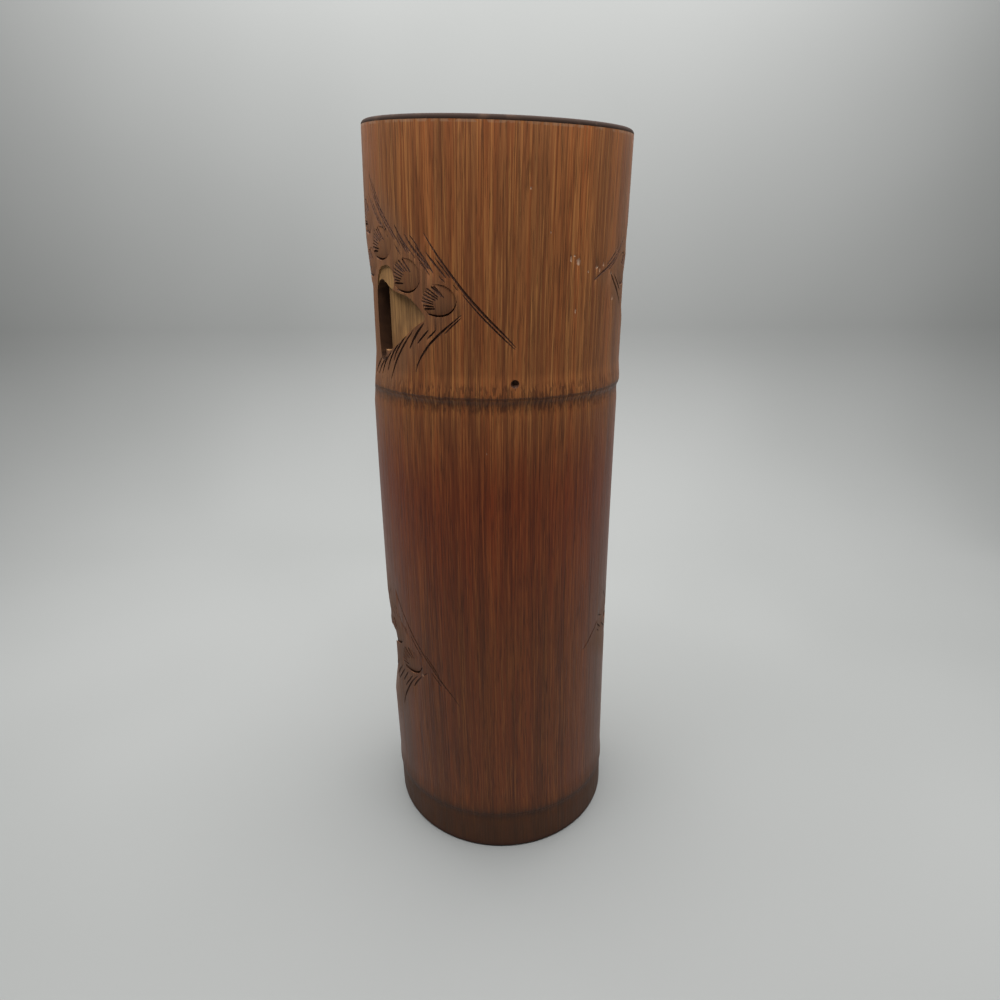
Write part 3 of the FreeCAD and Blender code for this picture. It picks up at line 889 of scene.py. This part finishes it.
def sweep_corners(window, index, chance):
    """Corners of one of the needles that sweep down from under a window."""
    azimuth, height, width, tall = window
    side = tuft_side(azimuth)
    start = azimuth + side * (9.0 - 3.4 * index)
    top = height - tall / 2.0 + 0.6 - abs(index - 2.5) * 0.4
    run = 9.0 + 1.2 * index + chance.uniform(-1.2, 1.2)
    return [(start - side * across * run, top - down * run)
            for across, down in ((0.0, 0.0), (0.45, 0.42), (0.72, 1.02))]


def fan_corners(tuft, index, chance):
    """Corners of one of the needles that fan out above a tuft."""
    azimuth, height, half_width, half_height = tuft
    turn = math.radians(58.0 + 17.0 * index + chance.uniform(-4.0, 4.0))
    start = half_height + 1.4
    end = start + chance.uniform(5.0, 8.5)
    return [(azimuth - tuft_side(azimuth) * reach * math.cos(turn) / ARC, height + reach * math.sin(turn))
            for reach in (start, end)]


# Azimuths between which the camera sees the windows and the tufts, whose needles are in the table above
SEEN_WINDOWS, SEEN_TUFTS = (-80.0, 85.0), (-72.0, 72.0)

# Needles under each hidden window and above each hidden tuft
SWEEPS, FANS = 6, 5


def hidden_strokes(chance):
    """Needles on the sides and back: sweeps below each window and fans above each tuft."""
    radius = carving().needle_radius
    strokes = []
    for window in WINDOWS:
        if not SEEN_WINDOWS[0] < window[0] < SEEN_WINDOWS[1]:
            for index in range(SWEEPS):
                corners = sweep_corners(window, index, chance)
                strokes.append(skin_stroke(corners, radius * chance.uniform(0.75, 1.0), 0.4))
    for tuft in TUFTS:
        if not SEEN_TUFTS[0] < tuft[0] < SEEN_TUFTS[1]:
            for index in range(FANS):
                corners = fan_corners(tuft, index, chance)
                strokes.append(skin_stroke(corners, radius * chance.uniform(0.6, 0.9)))
    return strokes


def strokes_apart(stroke, other):
    """Whether two grooves stay clear of each other. Those that start and end far apart aren't compared closely."""
    far = 0.09
    if all((stroke[end][0] - other[end][0]).length > far for end in (0, -1)):
        return True
    return all((place - other_place).length >= half_width + other_half_width + STROKE_GAP
               for place, half_width in stroke for other_place, other_half_width in other)


def ball(segments, rings, radius):
    """New ball at the origin."""
    deselect_all()
    bpy.ops.mesh.primitive_uv_sphere_add(segments=segments, ring_count=rings, radius=radius)
    return bpy.context.object


# Bud scar: azimuth and height in metres, radius, stretch and how far its middle lies outside the skin
BUD_PLACE, BUD_RADIUS, BUD_STRETCH, BUD_LIFT = (7.9, 0.2208), 0.0016, (1.0, 1.15, 0.8), 0.0003


def bud_cutter():
    """Round pit of the bud scar just above the middle node."""
    cutter = ball(24, 12, BUD_RADIUS)
    bpy.ops.transform.resize(value=BUD_STRETCH)
    cutter.matrix_world = on_wall(*BUD_PLACE) @ Matrix.Translation(UP * BUD_LIFT)
    bpy.ops.object.transform_apply()
    return cutter


def chip_cutter(chance):
    """Shallow ragged flakes, modelled once as a ball, pulled out of round and flattened for each chip."""
    corners = 14
    lift, half_depth = 0.00008, 0.00022
    model = ball(corners, 8, 1.0)
    pieces = []
    for azimuth, height, across, up in CHIPS:
        size = Matrix.Diagonal((across * MM / 2.0, up * MM / 2.0, half_depth, 1.0))
        matrix = on_wall(azimuth, height * MM) @ Matrix.Translation(UP * lift) @ size
        chip = link_new("chip", model.data.copy(), matrix)
        pulls = [chance.uniform(0.65, 1.2) for _ in range(corners)]
        for vertex in chip.data.vertices:
            turn = math.atan2(vertex.co.y, vertex.co.x) / math.tau * corners
            vertex.co.xy *= pulls[round(turn) % corners]
        pieces.append(chip)
    bpy.data.objects.remove(model)
    return fused(pieces, "chip_cutters")


def carve(wall, finishes):
    """Cuts windows, grounds, tufts and strokes out of the wall."""
    def take(cutter, index):
        give_finishes(cutter, finishes, index)
        cut_away(wall, cutter)

    chance = random.Random(11)
    for cutter, index in [(shaving_cutters(), SKIN), (window_cutters(), WINDOW), (ground_cutters(), GROUND),
                          (hollow_cutters(), GROUND)] + [(cutter, SKIN) for cutter in tuft_cutters()]:
        take(cutter, index)
    strokes = [crescent_stroke(tuft) for tuft in TUFTS]
    strokes += [skin_stroke(list(zip(row[1::2], row[2::2])), carving().needle_radius * row[0]) for row in NEEDLES]
    strokes += short_strokes(chance)
    strokes += hidden_strokes(chance)
    for tuft in TUFTS:
        strokes += rib_strokes(tuft, chance)
    strokes += hatch_strokes(chance)
    for group in grouped_apart(strokes, strokes_apart):
        take(curve_tool("strokes", group, cyclic=False, dimensions="3D", bevel_depth=1.0, bevel_resolution=1,
                        use_fill_caps=True), GOUGE)
    take(bud_cutter(), GOUGE)
    take(chip_cutter(chance), CHIP)


# Finishes. Sockets and numbers go in, and a socket comes out

def give(socket, value):
    """Gives an input a value, a colour without its alpha, or another node's output."""
    if isinstance(value, bpy.types.NodeSocket):
        socket.id_data.links.new(value, socket)
    elif socket.type == "RGBA":
        socket.default_value = (*value[:3], 1.0)
    else:
        socket.default_value = value


def add_node(tree, kind, links=None, **settings):
    """Outputs of a new shader node whose inputs have the values in links."""
    item = tree.nodes.new(kind)
    for name, value in settings.items():
        setattr(item, name, value)
    for name, value in (links or {}).items():
        give(item.inputs[name], value)
    return item.outputs


def tree_of(values):
    """Node tree of the first socket among values."""
    return next(value.id_data for value in values if isinstance(value, bpy.types.NodeSocket))


def calculate(operation, *values):
    """Output of a Math node."""
    return add_node(tree_of(values), "ShaderNodeMath", dict(enumerate(values)), operation=operation)[0]


def plus(*values):
    """Sum of values."""
    return reduce(lambda first, second: calculate("ADD", first, second), values)


def minus(first, second):
    """Difference of two values."""
    return calculate("SUBTRACT", first, second)


def times(*values):
    """Product of values."""
    return reduce(lambda first, second: calculate("MULTIPLY", first, second), values)


def highest(first, second):
    """Larger one of two values."""
    return calculate("MAXIMUM", first, second)


def on_vectors(operation, first, second=(0.0, 0.0, 0.0)):
    """Outputs of a Vector Math node."""
    return add_node(first.id_data, "ShaderNodeVectorMath", {0: first, 1: second}, operation=operation)


def vector(x, y, z=0.0):
    """Vector of three values."""
    return add_node(tree_of((x, y, z)), "ShaderNodeCombineXYZ", {"X": x, "Y": y, "Z": z})[0]


def parts_of(point):
    """The three values of a vector."""
    return add_node(point.id_data, "ShaderNodeSeparateXYZ", {0: point})


def noise(place, scale, detail, **more):
    """Value of a cloudy noise texture."""
    links = {"Vector": place, "Scale": scale, "Detail": detail, **more}
    return add_node(place.id_data, "ShaderNodeTexNoise", links)[0]


def between(value, low, high, start=0.0, end=1.0):
    """Value that goes smoothly from start to end as the input goes from low to high."""
    links = {"Value": value, "From Min": low, "From Max": high, "To Min": start, "To Max": end}
    return add_node(value.id_data, "ShaderNodeMapRange", links, interpolation_type="SMOOTHSTEP")["Result"]


def band(value, centre, half_width, softness):
    """1 within half a width of the centre, falling off over a softness."""
    return between(calculate("ABSOLUTE", minus(value, centre)), half_width + softness, half_width)


def mix(share, first, second):
    """Colour that goes from first to second with a share."""
    factor, from_colour, to_colour = 0, 6, 7
    return add_node(share.id_data, "ShaderNodeMix", {factor: share, from_colour: first, to_colour: second},
                    data_type="RGBA", clamp_factor=True)[2]


def new_group(name, inputs, outputs):
    """New node group with the sockets that it is given and gives, each input with its type and default."""
    tree = bpy.data.node_groups.new(name, "ShaderNodeTree")
    for socket_name, kind, default in inputs:
        socket = tree.interface.new_socket(name=socket_name, in_out="INPUT", socket_type="NodeSocket" + kind)
        if default is not None:
            socket.default_value = default
    for socket_name, kind in outputs:
        tree.interface.new_socket(name=socket_name, in_out="OUTPUT", socket_type="NodeSocket" + kind)
    return tree.nodes.new("NodeGroupInput").outputs, tree.nodes.new("NodeGroupOutput").inputs


def place_group(name, links):
    """Outputs of a node group placed in a material."""
    return add_node(tree_of(links.values()), "ShaderNodeGroup", links, node_tree=bpy.data.node_groups[name])


def build_culm_place():
    """Group that straightens the culm: a point on the unbowed cylinder, its height above a level node and its
    distance round the culm from the plain front."""
    size = culm()
    given, result = new_group("culm_place", [("Point", "Vector", None)],
                              [("Fibre", "Vector"), ("Height", "Float"), ("Level", "Float"), ("Round", "Float")])
    parts = parts_of(given["Point"])
    share = calculate("DIVIDE", parts["Z"], size.height)
    bow = times(share, minus(1.0, share), 4.0 * size.bow)
    across = plus(parts["X"], minus(bow, size.centring))
    direction = parts_of(on_vectors("NORMALIZE", vector(across, parts["Y"]))[0])
    around = times(calculate("ARCTAN2", across, times(parts["Y"], -1.0)), size.rim_radius)
    give(result["Fibre"], vector(times(direction["X"], size.rim_radius), times(direction["Y"], size.rim_radius),
                                 parts["Z"]))
    give(result["Height"], parts["Z"])
    give(result["Level"], plus(parts["Z"], times(direction["Y"], size.node_rise)))
    give(result["Round"], around)


def build_streaks():
    """Group for bamboo fibres: streaks of a width, drawn out up the culm by a stretch."""
    given, result = new_group("fibre_streaks", [("Fibre", "Vector", None), ("Width", "Float", 0.001),
                                                ("Stretch", "Float", 50.0), ("Low", "Float", 0.4),
                                                ("High", "Float", 0.6), ("Roughness", "Float", 0.55)],
                              [("Mask", "Float")])
    drawn = on_vectors("MULTIPLY", given["Fibre"], vector(1.0, 1.0, calculate("DIVIDE", 1.0, given["Stretch"])))[0]
    cloud = noise(drawn, calculate("DIVIDE", 1.0, given["Width"]), 3.0, Roughness=given["Roughness"])
    give(result["Mask"], between(cloud, given["Low"], given["High"]))


def build_end_grain():
    """Group for a sawn end of bamboo: dark dots of the fibre bundles, denser towards the skin."""
    size = culm()
    given, result = new_group("end_grain", [("Point", "Vector", None), ("Radius", "Float", size.rim_radius)],
                              [("Dots", "Float")])
    parts = parts_of(given["Point"])
    flat = vector(parts["X"], parts["Y"])
    inwards = minus(given["Radius"], on_vectors("LENGTH", flat)["Value"])
    skinwards = between(calculate("DIVIDE", inwards, size.wall), 1.0, 0.0)
    cells = add_node(flat.id_data, "ShaderNodeTexVoronoi", {"Vector": flat, "Scale": 1150.0})["Distance"]
    edge = plus(times(skinwards, 0.32), 0.5)
    give(result["Dots"], minus(1.0, between(cells, plus(edge, 0.08), plus(edge, 0.22))))


def start_finish(name, roughness=0.5, specular=0.25):
    """New material, the inputs of its Principled shader and the object coordinates of its piece."""
    finish = bpy.data.materials.new(name)
    finish.use_nodes = True
    shader = finish.node_tree.nodes["Principled BSDF"].inputs
    give(shader["Roughness"], roughness)
    give(shader["Specular IOR Level"], specular)
    return finish, shader, add_node(finish.node_tree, "ShaderNodeTexCoord")["Object"]


def add_bump(shader, height, distance, strength=1.0):
    """Surface relief from a height between 0 and 1."""
    links = {"Height": height, "Distance": distance, "Strength": strength}
    give(shader["Normal"], add_node(height.id_data, "ShaderNodeBump", links)[0])


def streaks(fibre, width, stretch, low, high, roughness=0.55):
    """Mask of fibre streaks."""
    return place_group("fibre_streaks", {"Fibre": fibre, "Width": width, "Stretch": stretch, "Low": low,
                                         "High": high, "Roughness": roughness})["Mask"]


# Zones where the skin is rubbed dull between the cuts: height of the tip, side of the culm, distance of the tip
# from the front, and how much further from the front its edge lies for each metre above and below the tip
DULL_ZONES = [(0.2475, -1.0, 0.0085, 0.90), (0.2550, 1.0, 0.037, 1.30), (0.0890, -1.0, 0.032, 0.62),
              (0.0985, 1.0, 0.041, 1.20)]


def dull_zones(height, around):
    """Mask of the zones that are rubbed dull."""
    zones = []
    for centre, side, start, spread in DULL_ZONES:
        away = calculate("ABSOLUTE", minus(height, centre))
        inside = minus(times(around, side), plus(times(away, spread), start))
        zones.append(times(between(inside, -0.003, 0.010), between(away, 0.052, 0.026)))
    return reduce(highest, zones)


def stained_skin():
    """Skin of the culm: reddish brown stain in streaks, dashes at the nodes, a dull foot, painted shade towards
    the sides and down the culm, painted light above the middle node and a painted highlight below the rim.
    """
    size = culm()
    amber, dark = colour("amber"), colour("dark")
    finish, shader, point = start_finish("stained_skin")
    place = place_group("culm_place", {"Point": point})
    fibre, level, height, around = place["Fibre"], place["Level"], place["Height"], place["Round"]
    broad = streaks(fibre, 0.008, 40.0, 0.36, 0.64)
    middling = streaks(fibre, 0.0016, 90.0, 0.42, 0.66)
    fine = streaks(fibre, 0.0006, 60.0, 0.46, 0.66)
    hair = streaks(fibre, 0.00038, 30.0, 0.52, 0.66)
    pale_hair = streaks(on_vectors("ADD", fibre, (0.31, 0.17, 0.4))[0], 0.0005, 70.0, 0.50, 0.66)
    tone = mix(times(broad, 0.75), colour("red"), colour("brown"))
    for mask, share, over in ((middling, 0.28, amber), (pale_hair, 0.62, amber), (fine, 0.38, dark),
                              (hair, 0.50, dark)):
        tone = mix(times(mask, share), tone, over)
    # Painted shade: the skin is darkened towards both carved sides, where less light falls on it
    aside = calculate("ABSOLUTE", around)
    side_shade = times(between(aside, 0.028, 0.056), between(aside, 0.120, 0.080))
    tone = mix(times(side_shade, 0.42), tone, (0.092, 0.042, 0.028))
    # Painted light and shade: the skin is painted lighter above the middle node and darker and redder below it and
    # again towards the foot, as the overhead light falls off
    height_light_and_shade = mix(between(height, size.middle_node + 0.010, size.middle_node - 0.040), (1.20, 1.34, 1.16),
               (0.79, 0.54, 0.40))
    height_light_and_shade = mix(between(height, 0.172, 0.100), height_light_and_shade, (0.72, 0.63, 0.48))
    tone = on_vectors("MULTIPLY", tone, height_light_and_shade)[0]
    # Dashes of broken fibres on both sides of the nodes
    zones = highest(band(level, size.middle_node - 0.0005, 0.0035, 0.0035),
                    times(band(level, size.foot_node - 0.0005, 0.0012, 0.0022), 0.7))
    dashes = times(streaks(fibre, 0.0007, 5.0, 0.48, 0.60, 0.4), zones)
    tone = mix(times(dashes, 0.55), tone, dark)
    wander = noise(fibre, 420.0, 2.0)
    wavy = plus(level, times(minus(wander, 0.5), 0.0012))
    lines = highest(band(wavy, size.middle_node - 0.0002, 0.00022, 0.00035),
                    band(wavy, size.foot_node - 0.0002, 0.00015, 0.0003))
    tone = mix(times(lines, 0.42), tone, dark)
    # The skin below the lower node is dull and olive brown, darkest at the cut edge
    ragged = plus(level, times(minus(middling, 0.5), 0.006), times(minus(fine, 0.5), 0.006))
    foot_share = between(ragged, size.foot_node + 0.0080, size.foot_node - 0.0085)
    tone = mix(times(foot_share, 0.74), tone, (0.050, 0.022, 0.009))
    tone = mix(times(between(height, 0.0035, 0.0008), 0.7), tone, dark)
    # The carved bands are rubbed and duller between the cuts
    dull = dull_zones(height, around)
    tone = mix(times(dull, 0.46), tone, (0.150, 0.076, 0.040))
    # A thin painted highlight on the edge just below the dark edge of the rim, broken up by a noise
    rim_level = plus(height, times(parts_of(point)["X"], size.rim_fall / size.rim_radius))
    rim_highlight = band(rim_level, size.height - size.rim_outer_round * 1.15, 0.0003, 0.0004)
    tone = mix(times(rim_highlight, between(wander, 0.40, 0.58), 0.35), tone, (0.30, 0.20, 0.13))
    give(shader["Base Color"], tone)
    give(shader["Roughness"], plus(times(highest(dull, foot_share), 0.16), 0.40, times(middling, 0.08)))
    relief = plus(times(fine, -0.5), times(hair, -0.5), times(dashes, -1.2), times(lines, -1.5))
    add_bump(shader, relief, 0.00012, 0.6)
    return finish


def fibrous_wood(name, roughness, grain, share, base, fibres, relief=0.0, stain=None, stained=None):
    """Finish of cut wood: a base colour, streaks of another one with a share and a relief in metres, and over
    them a colour of stain where a mask made from the fibre's place and the object coordinates has it."""
    finish, shader, point = start_finish(name, roughness)
    fibre = place_group("culm_place", {"Point": point})["Fibre"]
    mask = streaks(fibre, *grain)
    tone = mix(times(mask, share), base, fibres)
    if stain:
        tone = mix(stain(fibre, point), tone, stained)
    give(shader["Base Color"], tone)
    if relief:
        add_bump(shader, mask, relief)
    return finish


def bare_wood(name):
    """Inside of the culm and its septa: bare, dull bamboo, browned by water here and there."""
    return fibrous_wood(name, 0.75, (0.0012, 30.0, 0.38, 0.68), 0.6, colour("bare"), (0.210, 0.115, 0.050), 0.0002,
                        lambda fibre, point: between(noise(point, 38.0, 4.0), 0.45, 0.70, 0.0, 0.6),
                        (0.130, 0.068, 0.032))


def sawn_end(name, base, dot, radius):
    """Sawn and rounded end of the culm with its dots of fibre bundles."""
    finish, shader, point = start_finish(name, 0.85, 0.10)
    dots = place_group("end_grain", {"Point": point, "Radius": radius})["Dots"]
    tone = mix(times(dots, 0.8), base, dot)
    give(shader["Base Color"], mix(between(noise(point, 160.0, 3.0), 0.55, 0.75, 0.0, 0.25), tone,
                                   (0.10, 0.055, 0.032)))
    add_bump(shader, dots, 0.00008)
    return finish


def black_lacquer():
    """Baked black lacquer of the liner, rubbed to bare metal in specks and dulled by water."""
    finish, shader, point = start_finish("black_lacquer", 0.35)
    worn = noise(point, 340.0, 5.0)
    film = noise(point, 45.0, 3.0)
    specks = between(worn, 0.70, 0.75)
    tone = mix(between(film, 0.45, 0.7, 0.0, 0.3), colour("lacquer"), (0.028, 0.025, 0.022))
    give(shader["Base Color"], mix(specks, tone, (0.11, 0.10, 0.085)))
    give(shader["Metallic"], specks)
    give(shader["Roughness"], between(film, 0.35, 0.7, 0.34, 0.42))
    add_bump(shader, worn, 0.00006, 0.5)
    return finish


def wall_finishes():
    """Materials of the wall in the order of its face indices: skin, gouged cuts, grounds, sides of the windows,
    bore, rim, foot and flaked chips."""
    size = culm()
    return [
        stained_skin(),
        fibrous_wood("gouged_cut", 0.7, (0.0006, 12.0, 0.4, 0.7), 1.0, (0.050, 0.019, 0.010),
                     (0.110, 0.044, 0.022), 0.0001),
        fibrous_wood("carved_ground", 0.6, (0.0008, 40.0, 0.42, 0.68), 0.5, colour("ground"),
                     (0.115, 0.055, 0.022), 0.00015,
                     lambda fibre, point: times(streaks(fibre, 0.006, 3.0, 0.40, 0.66), 0.55),
                     (0.125, 0.058, 0.026)),
        fibrous_wood("window_side", 0.65, (0.0009, 20.0, 0.40, 0.68), 1.0, (0.050, 0.022, 0.012),
                     (0.115, 0.052, 0.024), 0.0001),
        bare_wood("scraped_bore"),
        sawn_end("rim_grain", (0.034, 0.016, 0.010), (0.016, 0.008, 0.005), size.rim_radius),
        sawn_end("foot_grain", (0.180, 0.110, 0.055), (0.050, 0.026, 0.013), size.foot_radius),
        fibrous_wood("flaked_chip", 0.7, (0.0005, 8.0, 0.35, 0.65), 1.0, (0.42, 0.27, 0.18), (0.28, 0.15, 0.09)),
    ]


def dress_nodes(names, finish):
    """Gives CAD nodes a finish."""
    for name in names:
        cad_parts[name].material_slots[0].material = finish


class VASE_OT_groups(bpy.types.Operator):
    """Build the node groups that the vase's materials share"""
    bl_idname = "vase.groups"
    bl_label = "Fibre and grain groups"

    def execute(self, context):
        build_culm_place()
        build_streaks()
        build_end_grain()
        return {"FINISHED"}


class VASE_OT_wall(bpy.types.Operator):
    """Model the carved and pierced wall of the culm"""
    bl_idname = "vase.wall"
    bl_label = "Carved bamboo wall"

    def execute(self, context):
        finishes = wall_finishes()
        wall = extruded_rings("bamboo_wall", culm_rings(), culm().sides, axis_offset)
        give_finishes(wall, finishes, SKIN)
        finish_by_place(wall)
        carve(wall, finishes)
        make_active(wall)
        bpy.ops.object.shade_smooth_by_angle(angle=math.radians(40.0))
        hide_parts("culm")
        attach(wall, "vase")
        return {"FINISHED"}


class VASE_OT_septa(bpy.types.Operator):
    """Give the two septa their bare bamboo"""
    bl_idname = "vase.septa"
    bl_label = "Septa"

    def execute(self, context):
        dress_nodes(("middle_septum", "floor_septum"), bare_wood("bare_septum"))
        return {"FINISHED"}


class VASE_OT_liner(bpy.types.Operator):
    """Give the water liner its black lacquer"""
    bl_idname = "vase.liner"
    bl_label = "Water liner"

    def execute(self, context):
        dress_nodes(("liner_tube", "liner_base"), black_lacquer())
        return {"FINISHED"}


# Floor and backdrop: size and middle of the floor, radius and steps of the bend, height of the backdrop above it
FLOOR_SIZE, FLOOR_MIDDLE = (4.0, 1.3, 1.0), (0.0, -0.4, 0.0)
BEND_RADIUS, BEND_STEPS, BACKDROP_HEIGHT = 0.16, 12, 1.6

# Softbox: its size and its place, above the lifted liner
SOFTBOX_SIZE, SOFTBOX_PLACE = (0.80, 0.66), (0.0, 0.05, 0.68)


def build_sweep():
    """Floor that bends up into the backdrop."""
    deselect_all()
    bpy.ops.mesh.primitive_plane_add(size=1.0, location=FLOOR_MIDDLE)
    sweep = bpy.context.object
    sweep.name = "sweep"
    bpy.ops.transform.resize(value=FLOOR_SIZE)
    bpy.ops.object.transform_apply()
    set_mode("EDIT")
    bpy.ops.mesh.select_all(action="DESELECT")
    set_mode("OBJECT")
    corners = sweep.data.vertices
    back = max(corner.co.y for corner in corners)
    for edge in sweep.data.edges:
        edge.select = all(math.isclose(corners[index].co.y, back) for index in edge.vertices)
    set_mode("EDIT")
    bpy.ops.mesh.select_mode(type="EDGE")
    turns = [QUARTER_TURN * step / BEND_STEPS for step in range(BEND_STEPS + 1)]
    route = [Vector((0.0, math.sin(turn), 1.0 - math.cos(turn))) * BEND_RADIUS for turn in turns]
    for move in [end - start for start, end in zip(route, route[1:])] + [UP * BACKDROP_HEIGHT]:
        extrude(move)
    bpy.ops.mesh.select_mode(type="VERT")
    set_mode("OBJECT")
    bpy.ops.object.shade_smooth()
    finish, shader, point = start_finish("pale_sweep", 0.8, 0.2)
    cloud = between(noise(point, 3.0, 2.0), 0.3, 0.7, 0.0, 0.08)
    give(shader["Base Color"], mix(cloud, colour("floor"), (0.5, 0.5, 0.5)))
    sweep.data.materials.append(finish)


def light_studio(scene, settings):
    """Faint light from all round and a softbox overhead."""
    world = bpy.data.worlds.new("studio_sky")
    world.use_nodes = True
    sky = world.node_tree.nodes["Background"].inputs
    give(sky["Color"], (0.95, 0.98, 1.0))
    give(sky["Strength"], settings.sky)
    scene.world = world
    lamp = bpy.data.lights.new("overhead_softbox", "AREA")
    lamp.shape = "RECTANGLE"
    lamp.size, lamp.size_y = SOFTBOX_SIZE
    lamp.energy = settings.overhead
    link_new("overhead_softbox", lamp, Matrix.Translation(SOFTBOX_PLACE))


def place_camera(scene, settings):
    """Camera of the photograph."""
    pitch, roll = settings.camera_pitch, settings.camera_roll
    forward = Vector((0.0, math.cos(pitch), -math.sin(pitch)))
    level_right = Vector((1.0, 0.0, 0.0))
    level_up = level_right.cross(forward)
    right = level_right * math.cos(roll) + level_up * math.sin(roll)
    up = level_up * math.cos(roll) - level_right * math.sin(roll)
    lens = bpy.data.cameras.new("photo_camera")
    lens.lens = settings.lens
    lens.sensor_width = 36.0
    place = (culm().centring, -settings.camera_distance, settings.camera_height)
    scene.camera = link_new("photo_camera", lens, axes_matrix(right, up, -forward, place))


class VASE_OT_stage(bpy.types.Operator):
    """Set up the pale sweep, the soft light and the camera"""
    bl_idname = "vase.stage"
    bl_label = "Studio"

    def execute(self, context):
        build_sweep()
        light_studio(context.scene, context.scene.vase_studio)
        place_camera(context.scene, context.scene.vase_studio)
        context.scene.view_settings.view_transform = "Standard"
        return {"FINISHED"}


class VASE_PT_panel(bpy.types.Panel):
    """Sizes, colours and steps of the vase"""
    bl_idname = "VASE_PT_panel"
    bl_label = "Carved bamboo vase"
    bl_space_type = "VIEW_3D"
    bl_region_type = "UI"
    bl_category = "Vase"

    def draw(self, context):
        for prop in SETTINGS:
            group = getattr(context.scene, prop)
            box = self.layout.box()
            box.label(text=group.bl_rna.name)
            for name in group.__annotations__:
                box.prop(group, name)
        for operator in OPERATORS:
            self.layout.operator(operator.bl_idname)


OPERATORS = [VASE_OT_groups, VASE_OT_wall, VASE_OT_septa, VASE_OT_liner, VASE_OT_stage]
SETTINGS = {"vase_culm": CulmSizes, "vase_carving": CarvingSizes, "vase_colours": FinishColours,
            "vase_studio": StudioSettings}


def register():
    """Registers the property groups, operators and panel."""
    for item in list(SETTINGS.values()) + OPERATORS + [VASE_PT_panel]:
        bpy.utils.register_class(item)
    for name, group in SETTINGS.items():
        setattr(bpy.types.Scene, name, PointerProperty(type=group))


def unregister():
    """Takes everything that register added away again."""
    for name in SETTINGS:
        delattr(bpy.types.Scene, name)
    for item in [VASE_PT_panel] + OPERATORS[::-1] + list(SETTINGS.values())[::-1]:
        bpy.utils.unregister_class(item)


def main():
    """Builds the vase and its studio."""
    register()
    bpy.ops.vase.groups()
    bpy.ops.vase.wall()
    bpy.ops.vase.septa()
    bpy.ops.vase.liner()
    bpy.ops.vase.stage()


if __name__ == "__main__":
    main()
